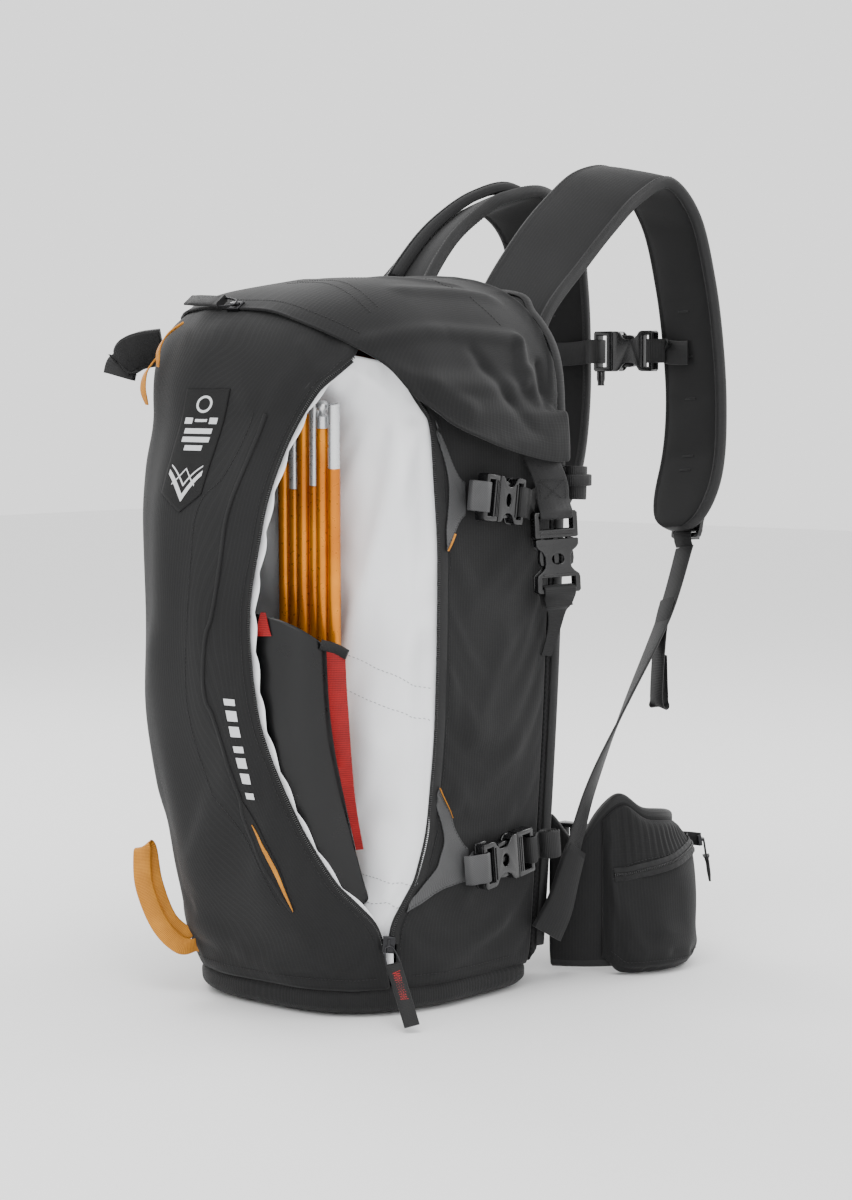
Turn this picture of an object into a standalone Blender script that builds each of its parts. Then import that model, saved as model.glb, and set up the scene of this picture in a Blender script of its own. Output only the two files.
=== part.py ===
"""Avalanche airbag backpack, about 26 litres, standing on its base.

Metres, +Z up. The origin is the centre of the flat base. The wearer faces +Y, so the harness is on
the +Y side of the back panel, the front panel faces -Y and the wearer's right is +X.
The bag is a stack of ribs: level up to the shoulder, then fanning back over the top about the line
where the shoulder height meets the back panel. A place on the bag is (turn, rise): turn runs from 0
at the right back edge through -90 at the front centre to -180 at the left back edge, in degrees, and
rise runs from 0 at the bottom seam through 1 at the shoulder to 2 at the top of the back panel.
"""
import math

import bmesh
import bpy
from mathutils import Matrix, Vector

# The bag's outer shape
BACK_Y = 0.075
SEAM_Z = 0.018
SHOULDER_Z = 0.435
HALF_WIDTHS = [(0.018, 0.112), (0.12, 0.119), (0.24, 0.126), (0.36, 0.130), (0.435, 0.131)]
DEPTHS = [(0.018, 0.180), (0.12, 0.215), (0.24, 0.232), (0.36, 0.232), (0.435, 0.220)]
TOP_HEIGHT = 0.100
BODY_SQUARENESS = 3.2
TOP_SQUARENESS = 2.7
DOME_SQUARENESS = 3.3
FABRIC = 0.0024
SEAM_GAP = 0.0005

# The tool compartment's zip line, from the bottom end up: rise, then turn
LEFT_ZIP = [(0.0, -43), (0.10, -44), (0.20, -58), (0.32, -70), (0.50, -80), (0.65, -82.5), (0.80, -79),
            (0.95, -73), (1.06, -63), (1.10, -57), (1.14, -52)]
RIGHT_ZIP = [(0.0, -42), (0.10, -39), (0.20, -28), (0.30, -23.5), (0.50, -21), (0.75, -21.5),
             (0.96, -25), (1.06, -31), (1.14, -37)]
ZIP_TOP_RISE = 1.14
LID_SEAM_RISE = 1.25
LID_GAP = 0.009
LEFT_SEAM_TURN = -146

# Harness
STRAP_WIDTH = 0.072
STRAP_THICKNESS = 0.011
WEBBING = 0.0018
BACK_PANEL_THICKNESS = 0.018
HIP_CENTRE_Y = 0.190
HIP_HALF_WIDTH = 0.148
HIP_HALF_DEPTH = 0.083
WING_THICKNESS = 0.011
WING_BOTTOM = 0.012
WING_TOP = 0.130

# Inside
CYLINDER_RADIUS = 0.030
CYLINDER_X = -0.055
CYLINDER_Y = 0.020
CYLINDER_BOTTOM = 0.034
CYLINDER_TOP = 0.275

# Hardware
BUCKLE_HALF_WIDTH = 0.017
BUCKLE_HALF_THICKNESS = 0.005
SOCKET_LENGTH = 0.040
PLUG_LENGTH = 0.020
RUNNING_GAP = 0.0005

for leftover in list(bpy.data.objects):
    bpy.data.objects.remove(leftover)


# ---------------------------------------------------------------- materials
def finish(name, colour, roughness, metallic=0.0):
    material = bpy.data.materials.new(name)
    material.use_nodes = True
    shader = material.node_tree.nodes["Principled BSDF"]
    shader.inputs["Base Color"].default_value = (*colour, 1.0)
    shader.inputs["Roughness"].default_value = roughness
    shader.inputs["Metallic"].default_value = metallic
    return material


SHELL_FABRIC = finish("shell_fabric", (0.030, 0.031, 0.033), 0.85)
BASE_FABRIC = finish("base_fabric", (0.022, 0.023, 0.025), 0.80)
MESH_FABRIC = finish("mesh_fabric", (0.014, 0.014, 0.015), 0.95)
COATED_TAB = finish("coated_tab", (0.050, 0.052, 0.055), 0.60)
BLACK_WEBBING = finish("black_webbing", (0.018, 0.018, 0.019), 0.75)
AMBER_WEBBING = finish("amber_webbing", (0.62, 0.33, 0.05), 0.70)
WHITE_LINING = finish("white_lining", (0.82, 0.83, 0.84), 0.40)
RED_FABRIC = finish("red_fabric", (0.60, 0.02, 0.03), 0.60)
BUCKLE_PLASTIC = finish("buckle_plastic", (0.015, 0.015, 0.016), 0.30)
BLADE_FINISH = finish("blade_finish", (0.020, 0.021, 0.022), 0.25, 0.6)
AMBER_TUBE = finish("amber_tube", (0.80, 0.36, 0.04), 0.25, 1.0)
BRUSHED_METAL = finish("brushed_metal", (0.70, 0.71, 0.72), 0.30, 1.0)
FRAME_PLASTIC = finish("frame_plastic", (0.10, 0.10, 0.11), 0.50)
AIRBAG_FABRIC = finish("airbag_fabric", (0.75, 0.12, 0.03), 0.55)
TRIGGER_RED = finish("trigger_red", (0.55, 0.03, 0.03), 0.40)


# ---------------------------------------------------------------- general shapes
def add(name, mesh, material, sharp=40):
    """A named object from a bmesh, faces turned outwards, shaded smooth up to the sharp angle."""
    bmesh.ops.recalc_face_normals(mesh, faces=mesh.faces[:])
    data = bpy.data.meshes.new(name)
    mesh.to_mesh(data)
    mesh.free()
    data.shade_smooth()
    data.set_sharp_from_angle(angle=math.radians(sharp))
    data.materials.append(material)
    piece = bpy.data.objects.new(name, data)
    bpy.context.scene.collection.objects.link(piece)
    return piece


def loft(name, rings, material, closed=False, sharp=40):
    """Rings of equal point counts joined in order, capped at both ends or joined end to end."""
    mesh = bmesh.new()
    loops = [[mesh.verts.new(point) for point in ring] for ring in rings]
    count = len(rings[0])
    pairs = list(zip(loops, loops[1:]))
    if closed:
        pairs.append((loops[-1], loops[0]))
    for low, high in pairs:
        for i in range(count):
            j = (i + 1) % count
            mesh.faces.new((low[i], low[j], high[j], high[i]))
    if not closed:
        mesh.faces.new(loops[0])
        mesh.faces.new(loops[-1])
    return add(name, mesh, material, sharp)


def profile(stops, x):
    """The value at x of a smooth curve through stops, a list of (x, value), with no overshoot."""
    xs = [stop[0] for stop in stops]
    ys = [stop[1] for stop in stops]
    last = len(stops) - 2
    slopes = [(ys[i + 1] - ys[i]) / (xs[i + 1] - xs[i]) for i in range(last + 1)]
    tangents = [slopes[0]]
    for before, after in zip(slopes, slopes[1:]):
        tangents.append(0.0 if before * after <= 0 else 2 * before * after / (before + after))
    tangents.append(slopes[-1])
    x = min(max(x, xs[0]), xs[-1])
    i = min(max(k for k in range(len(xs)) if xs[k] <= x), last)
    step = xs[i + 1] - xs[i]
    t = (x - xs[i]) / step
    rise = ys[i + 1] - ys[i]
    bend = (t ** 3 - 2 * t * t + t) * tangents[i] + (t ** 3 - t * t) * tangents[i + 1]
    return ys[i] + rise * (3 * t * t - 2 * t ** 3) + step * bend


def route(points, count):
    """count points, evenly spread by parameter, on a smooth curve through the given points."""
    stops = [Vector(point) for point in points]
    result = []
    for k in range(count):
        s = k / (count - 1) * (len(stops) - 1)
        i = min(int(s), len(stops) - 2)
        t = s - i
        a = stops[max(i - 1, 0)]
        b = stops[i]
        c = stops[i + 1]
        d = stops[min(i + 2, len(stops) - 1)]
        pull_b = (c - a) / 2
        pull_c = (d - b) / 2
        near = b * (2 * t ** 3 - 3 * t * t + 1) + pull_b * (t ** 3 - 2 * t * t + t)
        result.append(near + c * (3 * t * t - 2 * t ** 3) + pull_c * (t ** 3 - t * t))
    return result


def frames_along(path, sides):
    """(point, side, up) at each point of a path: side is the given width direction, squared up."""
    result = []
    for k, point in enumerate(path):
        ahead = path[min(k + 1, len(path) - 1)]
        behind = path[max(k - 1, 0)]
        tangent = (ahead - behind).normalized()
        side = sides[k] - tangent * sides[k].dot(tangent)
        side.normalize()
        result.append((point, side, side.cross(tangent)))
    return result


def sweep(name, points, side, section, material, count=12, sharp=40):
    """A section of (across, up) points swept along a route. side is one direction, or one per point."""
    path = route(points, count)
    if isinstance(side, list):
        sides = route(side, count)
    else:
        sides = [Vector(side)] * count
    rings = []
    for point, across, up in frames_along(path, sides):
        rings.append([point + across * a + up * b for a, b in section])
    return loft(name, rings, material, sharp=sharp)


def flat_section(width, thickness):
    half = width / 2
    rise = thickness / 2
    return [(-half, -rise), (half, -rise), (half, rise), (-half, rise)]


def padded_section(width, thickness):
    """A flat pad's section with rounded edges."""
    half = width / 2
    rise = thickness / 2
    edge = half - rise * 0.7
    return [(-edge, -rise), (edge, -rise), (half, -rise * 0.35), (half, rise * 0.35),
            (edge, rise), (-edge, rise), (-half, rise * 0.35), (-half, -rise * 0.35)]


def box_mesh(low, high):
    mesh = bmesh.new()
    bmesh.ops.create_cube(mesh, size=1.0)
    for vert in mesh.verts:
        for axis in range(3):
            vert.co[axis] = low[axis] if vert.co[axis] < 0 else high[axis]
    return mesh


def block(name, low, high, material, place=None):
    piece = add(name, box_mesh(low, high), material)
    if place:
        piece.matrix_world = place
    return piece


def apply_boolean(piece, other, operation):
    """Joins or cuts piece with other, a scratch object that is then removed."""
    modifier = piece.modifiers.new("join", "BOOLEAN")
    modifier.operation = operation
    modifier.solver = "EXACT"
    modifier.object = other
    bpy.context.view_layer.update()
    evaluated = piece.evaluated_get(bpy.context.evaluated_depsgraph_get())
    result = bpy.data.meshes.new_from_object(evaluated)
    piece.modifiers.clear()
    piece.data = result
    bpy.data.objects.remove(other)


def join_block(piece, low, high, operation="UNION"):
    other = block("scratch", low, high, piece.data.materials[0])
    apply_boolean(piece, other, operation)


def cut_block(piece, low, high):
    join_block(piece, low, high, "DIFFERENCE")


def circle(radius, z, sides=24, x=0.0, y=0.0):
    steps = [2 * math.pi * k / sides for k in range(sides)]
    return [Vector((x + radius * math.cos(a), y + radius * math.sin(a), z)) for a in steps]


def turned(name, stations, material, x, y, sides=24, sharp=40):
    """A solid of revolution about a vertical line, from (radius, z) stations."""
    return loft(name, [circle(r, z, sides, x, y) for r, z in stations], material, sharp=sharp)


def place_at(origin, forward, outward):
    """A frame with X along forward and Z near outward."""
    x = Vector(forward).normalized()
    z = Vector(outward) - x * Vector(outward).dot(x)
    z.normalize()
    y = z.cross(x)
    return Matrix.Translation(origin) @ Matrix((x, y, z)).transposed().to_4x4()


# ---------------------------------------------------------------- the bag's surface
def shell(turn, rise, inset=0.0):
    """A point on the bag at (turn, rise), moved inwards by inset."""
    level = min(rise, 1.0)
    z = SEAM_Z + (SHOULDER_Z - SEAM_Z) * level
    lean = max(rise - 1.0, 0.0) * math.pi / 2
    half = profile(HALF_WIDTHS, z)
    depth = profile(DEPTHS, z)
    power = DOME_SQUARENESS
    if lean > 0:
        reach = (math.cos(lean) / depth) ** power + (math.sin(lean) / TOP_HEIGHT) ** power
        depth = reach ** (-1 / power)
    square = BODY_SQUARENESS + (TOP_SQUARENESS - BODY_SQUARENESS) * math.sin(lean) ** 2
    c = math.cos(math.radians(turn))
    s = abs(math.sin(math.radians(turn)))
    x = (half - inset) * math.copysign(abs(c) ** (2 / square), c)
    out = (depth - inset) * s ** (2 / square)
    return Vector((x, BACK_Y - out * math.cos(lean), z + out * math.sin(lean)))


def turn_at(y, rise):
    """The turn on the right side where the bag passes y, at a level rise."""
    z = SEAM_Z + (SHOULDER_Z - SEAM_Z) * rise
    share = (BACK_Y - y) / profile(DEPTHS, z)
    return -math.degrees(math.asin(share ** (BODY_SQUARENESS / 2)))


def side_point(y, z, lift=0.0):
    """A point on the right side of the bag at y and z, lifted off it."""
    rise = (z - SEAM_Z) / (SHOULDER_Z - SEAM_Z)
    return shell(turn_at(y, rise), rise, -lift)


def panel(name, left, right, bottom, top, material, columns, rows, inset=None, thickness=FABRIC):
    """A curved panel between two side edges. left and right give the turn at a rise; bottom and top
    give the rise at a share of the way across; inset gives the depth under the surface."""
    mesh = bmesh.new()
    outer = []
    inner = []
    for j in range(rows + 1):
        outer_row = []
        inner_row = []
        for i in range(columns + 1):
            s = i / columns
            rise = bottom(s) + (top(s) - bottom(s)) * j / rows
            turn = left(rise) + (right(rise) - left(rise)) * s
            depth = inset(s, rise) if inset else 0.0
            outer_row.append(mesh.verts.new(shell(turn, rise, depth)))
            inner_row.append(mesh.verts.new(shell(turn, rise, depth + thickness)))
        outer.append(outer_row)
        inner.append(inner_row)
    for grid in (outer, inner):
        for j in range(rows):
            for i in range(columns):
                mesh.faces.new((grid[j][i], grid[j][i + 1], grid[j + 1][i + 1], grid[j + 1][i]))
    for j in range(rows):
        for i in (0, columns):
            mesh.faces.new((outer[j][i], outer[j + 1][i], inner[j + 1][i], inner[j][i]))
    for i in range(columns):
        for j in (0, rows):
            mesh.faces.new((outer[j][i], outer[j][i + 1], inner[j][i + 1], inner[j][i]))
    return add(name, mesh, material)


def left_zip(rise):
    return profile(LEFT_ZIP, rise)


def right_zip(rise):
    return profile(RIGHT_ZIP, rise)


def lid_seam(turn):
    """The rise of the lid's lower seam: low over the right side and the zip's end, higher further left."""
    ease = min(max((-52.0 - turn) / 26.0, 0.0), 1.0)
    return ZIP_TOP_RISE + (LID_SEAM_RISE - ZIP_TOP_RISE) * ease * ease * (3 - 2 * ease)


def front_top(s):
    start = left_zip(ZIP_TOP_RISE)
    return lid_seam(start + (LEFT_SEAM_TURN - start) * s) - LID_GAP


def make_front_panel():
    panel("front_panel", left_zip, lambda rise: LEFT_SEAM_TURN + SEAM_GAP * 500,
          lambda s: 0.002, front_top, SHELL_FABRIC, 16, 18)


def make_right_side_panel():
    panel("right_side_panel", lambda rise: -1.0, right_zip,
          lambda s: 0.002, lambda s: ZIP_TOP_RISE - LID_GAP, SHELL_FABRIC, 8, 16)


def make_left_side_panel():
    panel("left_side_panel", lambda rise: LEFT_SEAM_TURN - SEAM_GAP * 500, lambda rise: -179.0,
          lambda s: 0.002, lambda s: LID_SEAM_RISE - LID_GAP, SHELL_FABRIC, 7, 16)


def cover_hem(s):
    return lid_seam(-1.0 - 178.0 * s) + LID_GAP


def make_top_cover():
    panel("top_cover", lambda rise: -1.0, lambda rise: -179.0, cover_hem, lambda s: 1.985,
          SHELL_FABRIC, 24, 10)


def base_ring(z, inset):
    turns = [-180 + 180 * k / 22 for k in range(23)]
    ring = [shell(turn, 0.0, inset) for turn in turns]
    return [Vector((p.x, min(p.y, BACK_Y - 0.0005), z)) for p in ring]


def make_base_panel():
    loft("base_panel", [base_ring(0.0, 0.013), base_ring(0.004, 0.004), base_ring(0.010, 0.0008),
                        base_ring(SEAM_Z - 0.0005, 0.0)], BASE_FABRIC)


def slab(name, stations, front, back, material):
    """An upright slab between two Y planes, from (half width, z) stations, bottom to top."""
    rings = []
    for half, z in stations:
        rings.append([Vector((-half, front, z)), Vector((half, front, z)),
                      Vector((half, back, z)), Vector((-half, back, z))])
    return loft(name, rings, material)


def make_back_panel():
    front = BACK_Y + 0.0005
    stations = [(profile(HALF_WIDTHS, z), z) for z in (0.018, 0.08, 0.16, 0.24, 0.32, 0.40, 0.435)]
    for k in range(1, 10):
        angle = math.radians(10 * k)
        half = profile(HALF_WIDTHS, SHOULDER_Z) * math.cos(angle) ** (2 / TOP_SQUARENESS)
        stations.append((half, SHOULDER_Z + TOP_HEIGHT * math.sin(angle) ** (2 / TOP_SQUARENESS)))
    stations[-1] = (0.02, stations[-1][1])
    piece = slab("back_panel", stations, front, front + BACK_PANEL_THICKNESS, MESH_FABRIC)
    hole = turned("scratch", [(0.0055, -0.05), (0.0055, 0.05)], MESH_FABRIC, 0.0, 0.0, 12)
    hole.matrix_world = Matrix.Translation((-0.055, BACK_Y, 0.462)) @ Matrix.Rotation(math.pi / 2, 4, "X")
    apply_boolean(piece, hole, "DIFFERENCE")


def make_frame_sheet():
    slab("frame_sheet", [(0.085, 0.030), (0.098, 0.050), (0.098, 0.400), (0.070, 0.430)],
         0.0700, 0.0722, FRAME_PLASTIC)


# ---------------------------------------------------------------- tool compartment
LINING_DIP = [(0.0, 0.050), (0.15, 0.066), (0.55, 0.072), (0.85, 0.060), (1.15, 0.052)]


def lining_depth(s, rise):
    """The lining starts behind the zip's right edge, dips behind the tools and ends at the left wall."""
    ease = min(s / 0.36, (1 - s) / 0.25, 1.0)
    return 0.0065 + profile(LINING_DIP, rise) * ease * ease * (3 - 2 * ease)


def make_tool_lining():
    panel("tool_lining", lambda rise: right_zip(rise) + 3.0, lambda rise: -158.0,
          lambda s: 0.030, lambda s: 1.12, WHITE_LINING, 18, 14, lining_depth, 0.0014)


BLADE_EDGE = [(0.13, -44), (0.30, -50), (0.45, -53), (0.64, -56)]
BLADE_SET_BACK = [(0.13, 0.008), (0.45, 0.018)]


def make_shovel_blade():
    """A dished blade behind the front panel, flatter than the bag, with a raised middle at its top."""
    panel("shovel_blade", lambda rise: profile(BLADE_EDGE, rise), lambda rise: -132.0,
          lambda s: 0.13 + 0.03 * (2 * s - 1) ** 4, lambda s: 0.665 - 0.07 * abs(2 * s - 1) ** 2.5,
          BLADE_FINISH, 14, 10, lambda s, rise: 0.013 + profile(BLADE_SET_BACK, rise) * (2 * s - 1) ** 2, 0.0014)


def make_shovel_sleeve():
    """The red tool sleeve's edge strip, standing beside the blade's edge in front of the lining."""
    points = []
    for rise in (0.25, 0.34, 0.44, 0.53, 0.62):
        points.append(shell(profile(BLADE_EDGE, rise) + 8.5, rise, 0.024))
    sweep("shovel_sleeve", points, (0.9, 0.45, 0), flat_section(0.012, 0.0016), RED_FABRIC, 9)


PROBE_TOPS = [0.400, 0.418, 0.436, 0.446, 0.448, 0.446]
PROBE_FIRST_X = 0.026
PROBE_SPACING = 0.0095
PROBE_TOP_Y = -0.106
PROBE_LEAN = Vector((0.027, -0.032, 0.348))
PROBE_BOTTOM_Z = 0.100
PROBE_RADIUS = 0.0046


def make_probe():
    """Folded probe: tubes side by side, leaning forwards, held in one bundle by the band round them."""
    place = place_at(Vector((PROBE_FIRST_X - PROBE_LEAN.x, PROBE_TOP_Y - PROBE_LEAN.y, PROBE_BOTTOM_Z)),
                     PROBE_LEAN, (0, -1, 0))
    turn = place @ Matrix.Rotation(math.pi / 2, 4, "Y")
    stretch = PROBE_LEAN.length / PROBE_LEAN.z
    piece = None
    for k, top in enumerate(PROBE_TOPS):
        length = (top - PROBE_BOTTOM_Z) * stretch
        name = "scratch" if piece else "probe_pole"
        tube = turned(name, [(0.0036, 0.0), (PROBE_RADIUS, 0.002), (PROBE_RADIUS, length)],
                      AMBER_TUBE, 0.0, -k * PROBE_SPACING, 10)
        if piece:
            apply_boolean(piece, tube, "UNION")
        else:
            piece = tube
    last = PROBE_SPACING * (len(PROBE_TOPS) - 1)
    join_block(piece, (-0.0030, -last, 0.050), (0.0030, 0.0, 0.075))
    piece.matrix_world = turn


# ---------------------------------------------------------------- airbag system
def make_airbag():
    rings = []
    for z, grow in ((0.385, 0.85), (0.392, 0.97), (0.420, 1.0), (0.462, 1.0), (0.484, 0.94), (0.490, 0.80)):
        ring = []
        for k in range(24):
            angle = 2 * math.pi * k / 24
            c = math.cos(angle)
            s = math.sin(angle)
            x = 0.088 * grow * math.copysign(abs(c) ** 0.6, c)
            y = -0.012 + 0.046 * grow * math.copysign(abs(s) ** 0.6, s)
            ring.append(Vector((x, y, z)))
        rings.append(ring)
    loft("airbag", rings, AIRBAG_FABRIC)


def make_cylinder():
    neck = CYLINDER_TOP
    turned("gas_cylinder", [(0.020, CYLINDER_BOTTOM), (CYLINDER_RADIUS, CYLINDER_BOTTOM + 0.012),
                            (CYLINDER_RADIUS, neck - 0.035), (0.024, neck - 0.016), (0.011, neck - 0.006),
                            (0.009, neck), (0.009, neck + 0.018)],
           BRUSHED_METAL, CYLINDER_X, CYLINDER_Y)
    inner = 0.0096
    bottom = neck + 0.002
    top = neck + 0.015
    rings = []
    for k in range(24):
        angle = 2 * math.pi * k / 24
        direction = Vector((math.cos(angle), math.sin(angle), 0))
        centre = Vector((CYLINDER_X, CYLINDER_Y, 0))
        outer = 0.0155 if k % 2 else 0.0150
        rings.append([centre + direction * r + Vector((0, 0, z))
                      for r, z in ((inner, bottom), (outer, bottom), (outer, top), (inner, top))])
    loft("cylinder_collar", rings, BRUSHED_METAL, closed=True)
    rings = []
    for k in range(32):
        angle = 2 * math.pi * k / 32
        direction = Vector((math.cos(angle), math.sin(angle), 0))
        rings.append([centre + direction * r + Vector((0, 0, z))
                      for r, z in ((0.0306, 0.140), (0.0326, 0.140), (0.0326, 0.165), (0.0306, 0.165))])
    loft("cylinder_strap", rings, BLACK_WEBBING, closed=True)


LEVER_PIVOT = (CYLINDER_X, 0.0502, 0.334)


def make_inflator():
    """The inflator head over the cylinder's neck, with its venturi horn, and the valve lever."""
    low = CYLINDER_TOP + 0.0195
    piece = block("inflator_head", (CYLINDER_X - 0.022, -0.004, low),
                  (CYLINDER_X + 0.022, 0.044, low + 0.038), FRAME_PLASTIC)
    horn = turned("scratch", [(0.014, 0.0), (0.014, 0.050), (0.026, 0.075)], FRAME_PLASTIC, 0.0, 0.0, 20)
    horn.matrix_world = Matrix.Translation((CYLINDER_X + 0.010, 0.020, low + 0.019)) \
        @ Matrix.Rotation(math.pi / 2, 4, "Y")
    apply_boolean(piece, horn, "UNION")
    lever = block("valve_lever", (-0.005, -0.003, -0.006), (0.005, 0.003, 0.032), TRIGGER_RED)
    lever.matrix_world = Matrix.Translation(LEVER_PIVOT)


LEFT_SAG_FROM = 0.52
LEFT_SAG = 0.13
LEFT_SPREAD_LOSS = 0.024
LEFT_ROOT_SPREAD = 0.016


def strap_frames(hand, count=26):
    """(point, across, up) along a shoulder strap's middle; up is the face away from the wearer.
    hand is +1 for the right strap and -1 for the left one, which hangs a little nearer the middle."""
    stops = []
    for x, y, z in STRAP_ROUTE:
        if hand < 0:
            high = max(z - LEFT_SAG_FROM, 0.0)
            x -= LEFT_SPREAD_LOSS * min(max((y - 0.20) / 0.10, 0.0), 1.0)
            x += LEFT_ROOT_SPREAD * min(max((0.26 - y) / 0.10, 0.0), 1.0)
            z -= high * LEFT_SAG
        stops.append((hand * x, y, z))
    sides = [(x, hand * y, hand * z) for x, y, z in STRAP_SIDES]
    return frames_along(route(stops, count), route(sides, count))


STRAP_ROUTE = [(0.054, 0.1075, 0.425), (0.055, 0.1095, 0.468), (0.056, 0.126, 0.514), (0.060, 0.168, 0.560),
               (0.064, 0.202, 0.591), (0.068, 0.236, 0.615), (0.073, 0.274, 0.623), (0.078, 0.309, 0.592),
               (0.082, 0.326, 0.540), (0.085, 0.334, 0.487), (0.087, 0.336, 0.438), (0.088, 0.329, 0.390),
               (0.088, 0.306, 0.337)]
STRAP_SIDES = [(1, 0, 0), (1, 0, 0), (1, 0, -0.15), (0.93, 0, -0.36), (0.93, 0, -0.36), (0.94, -0.08, -0.33),
               (0.96, -0.2, -0.15), (0.95, -0.29, 0), (0.95, -0.29, 0), (0.95, -0.29, 0), (0.95, -0.29, 0),
               (0.96, -0.25, 0), (0.97, -0.22, 0)]


def strap_width(share):
    """Full width along the strap, rounding off at the free end."""
    if share < 0.93:
        return 1.0
    return math.sqrt(max(1 - ((share - 0.93) / 0.075) ** 2, 0.05))


def make_shoulder_strap(name, hand):
    section = padded_section(STRAP_WIDTH, STRAP_THICKNESS)
    rings = []
    frames = strap_frames(hand)
    for k, (point, across, up) in enumerate(frames):
        scale = strap_width(k / (len(frames) - 1))
        rings.append([point + across * (a * scale) + up * b for a, b in section])
    return loft(name, rings, SHELL_FABRIC)


SLEEVE_FROM = 5
SLEEVE_TO = 15


def make_trigger_sleeve():
    """A zipped tunnel along the left strap's outer face, open underneath, over the cable."""
    half = 0.0075
    height = 0.0085
    wall = 0.0012
    section = [(-half, 0), (-half, height), (half, height), (half, 0), (half - wall, 0),
               (half - wall, height - wall), (wall - half, height - wall), (wall - half, 0)]
    rings = []
    for point, across, up in strap_frames(-1)[SLEEVE_FROM:SLEEVE_TO]:
        base = point + up * (STRAP_THICKNESS / 2 + 0.0016)
        rings.append([base + across * a + up * b for a, b in section])
    loft("trigger_sleeve", rings, SHELL_FABRIC)


def make_trigger_cable():
    """The cable from the valve lever through the back panel and along the left strap."""
    stops = [Vector((CYLINDER_X, 0.0575, 0.372)), Vector((CYLINDER_X, 0.0585, 0.410)),
             Vector((-0.055, 0.0590, 0.440)), Vector((-0.055, 0.0650, 0.459)), Vector((-0.055, 0.0760, 0.4625)),
             Vector((-0.055, 0.0900, 0.4635)), Vector((-0.055, 0.0975, 0.471))]
    frames = strap_frames(-1)
    for k in range(SLEEVE_FROM - 1, SLEEVE_TO):
        point, across, up = frames[k]
        stops.append(point + up * (STRAP_THICKNESS / 2 + 0.0050))
    curve = bpy.data.curves.new("trigger_cable", "CURVE")
    curve.dimensions = "3D"
    curve.bevel_depth = 0.0015
    curve.bevel_resolution = 2
    curve.use_fill_caps = True
    points = route(stops, 64)
    spline = curve.splines.new("POLY")
    spline.points.add(len(points) - 1)
    for slot, point in zip(spline.points, points):
        slot.co = (*point, 1.0)
    curve.materials.append(BLACK_WEBBING)
    cable = bpy.data.objects.new("trigger_cable", curve)
    bpy.context.scene.collection.objects.link(cable)


def make_trigger_handle():
    """The pull handle below the sleeve on the left strap's outer face."""
    point, across, up = strap_frames(-1)[SLEEVE_TO + 1]
    ahead = strap_frames(-1)[SLEEVE_TO + 2][0]
    origin = point + up * (STRAP_THICKNESS / 2 + 0.0080)
    place = place_at(origin, ahead - point, up)
    handle = block("trigger_handle", (-0.012, -0.006, -0.0055), (0.020, 0.006, 0.0055), TRIGGER_RED)
    join_block(handle, (0.018, -0.022, -0.0060), (0.032, 0.022, 0.0060))
    handle.matrix_world = place


# ---------------------------------------------------------------- buckles
def make_socket(name, place, squeeze=1.0):
    """Buckle socket: mouth at the local origin, plug leaves along +X, webbing bar at the far end."""
    w = BUCKLE_HALF_WIDTH
    t = BUCKLE_HALF_THICKNESS
    piece = block(name, (-SOCKET_LENGTH, -w, -t), (0, w, t), BUCKLE_PLASTIC)
    cut_block(piece, (-0.0215, -0.0130, -0.0032), (0.002, 0.0130, 0.0032))
    cut_block(piece, (-0.0190, -0.020, -0.0034), (-0.0080, 0.020, 0.0034))
    cut_block(piece, (-0.0365, -0.0132, -0.01), (-0.0280, 0.0132, 0.01))
    piece.data.transform(Matrix.Diagonal((squeeze, 1, squeeze, 1)))
    piece.matrix_world = place
    return piece


def make_plug(name, place, squeeze=1.0):
    """Buckle plug: two sprung arms and a guide inside the socket, and a webbing bar outside."""
    w = BUCKLE_HALF_WIDTH
    t = BUCKLE_HALF_THICKNESS
    piece = block(name, (RUNNING_GAP, -w, -t), (PLUG_LENGTH, w, t), BUCKLE_PLASTIC)
    cut_block(piece, (0.0075, -0.0132, -0.01), (0.0160, 0.0132, 0.01))
    for low, high in ((-0.0122, -0.0088), (-0.0020, 0.0020), (0.0088, 0.0122)):
        join_block(piece, (-0.0195, low, -0.0026), (0.002, high, 0.0026))
    piece.data.transform(Matrix.Diagonal((squeeze, 1, squeeze, 1)))
    piece.matrix_world = place
    return piece


def mirrored(place):
    """The place on the left side of the bag that faces a place on the right side."""
    flip = Vector((-1, 1, 1))
    origin = place.translation * flip
    forward = place.col[0].to_3d() * flip
    outwards = place.col[2].to_3d() * flip
    return place_at(origin, forward, outwards)


UPPER_BUCKLE = place_at(side_point(0.000, 0.374, 0.0075), (0.0, -0.97, 0.12), (1, -0.12, 0))
UPPER_SQUEEZE = 0.75
LOWER_BUCKLE = place_at(side_point(0.036, 0.108, 0.0085), (0.0, 1.0, 0.10), (1, -0.12, 0))
LID_BUCKLE = place_at(Vector((0.1470, 0.057, 0.343)), (-0.04, -0.04, 1.0), (0.84, -0.54, 0.05))


def bar_of(place, along):
    """A point on a buckle's middle plane, along its length from the mouth."""
    return place @ Vector((along, 0, 0))


def webbing_strip(name, points, side, width=0.025, count=10, material=BLACK_WEBBING):
    return sweep(name, points, side, flat_section(width, WEBBING), material, count, sharp=30)


def make_side_straps():
    """Compression buckles on the right side and their mirror images on the left, with the
    coated tabs that hold the sockets and the webbing that is sewn in at the back edge."""
    for name, place in (("right_upper", UPPER_BUCKLE), ("right_lower", LOWER_BUCKLE),
                        ("right_lid", LID_BUCKLE), ("left_lower", mirrored(LOWER_BUCKLE)),
                        ("left_lid", mirrored(LID_BUCKLE))):
        squeeze = UPPER_SQUEEZE if place is UPPER_BUCKLE else 1.0
        make_socket(name + "_socket", place, squeeze)
        make_plug(name + "_plug", place, squeeze)


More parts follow.
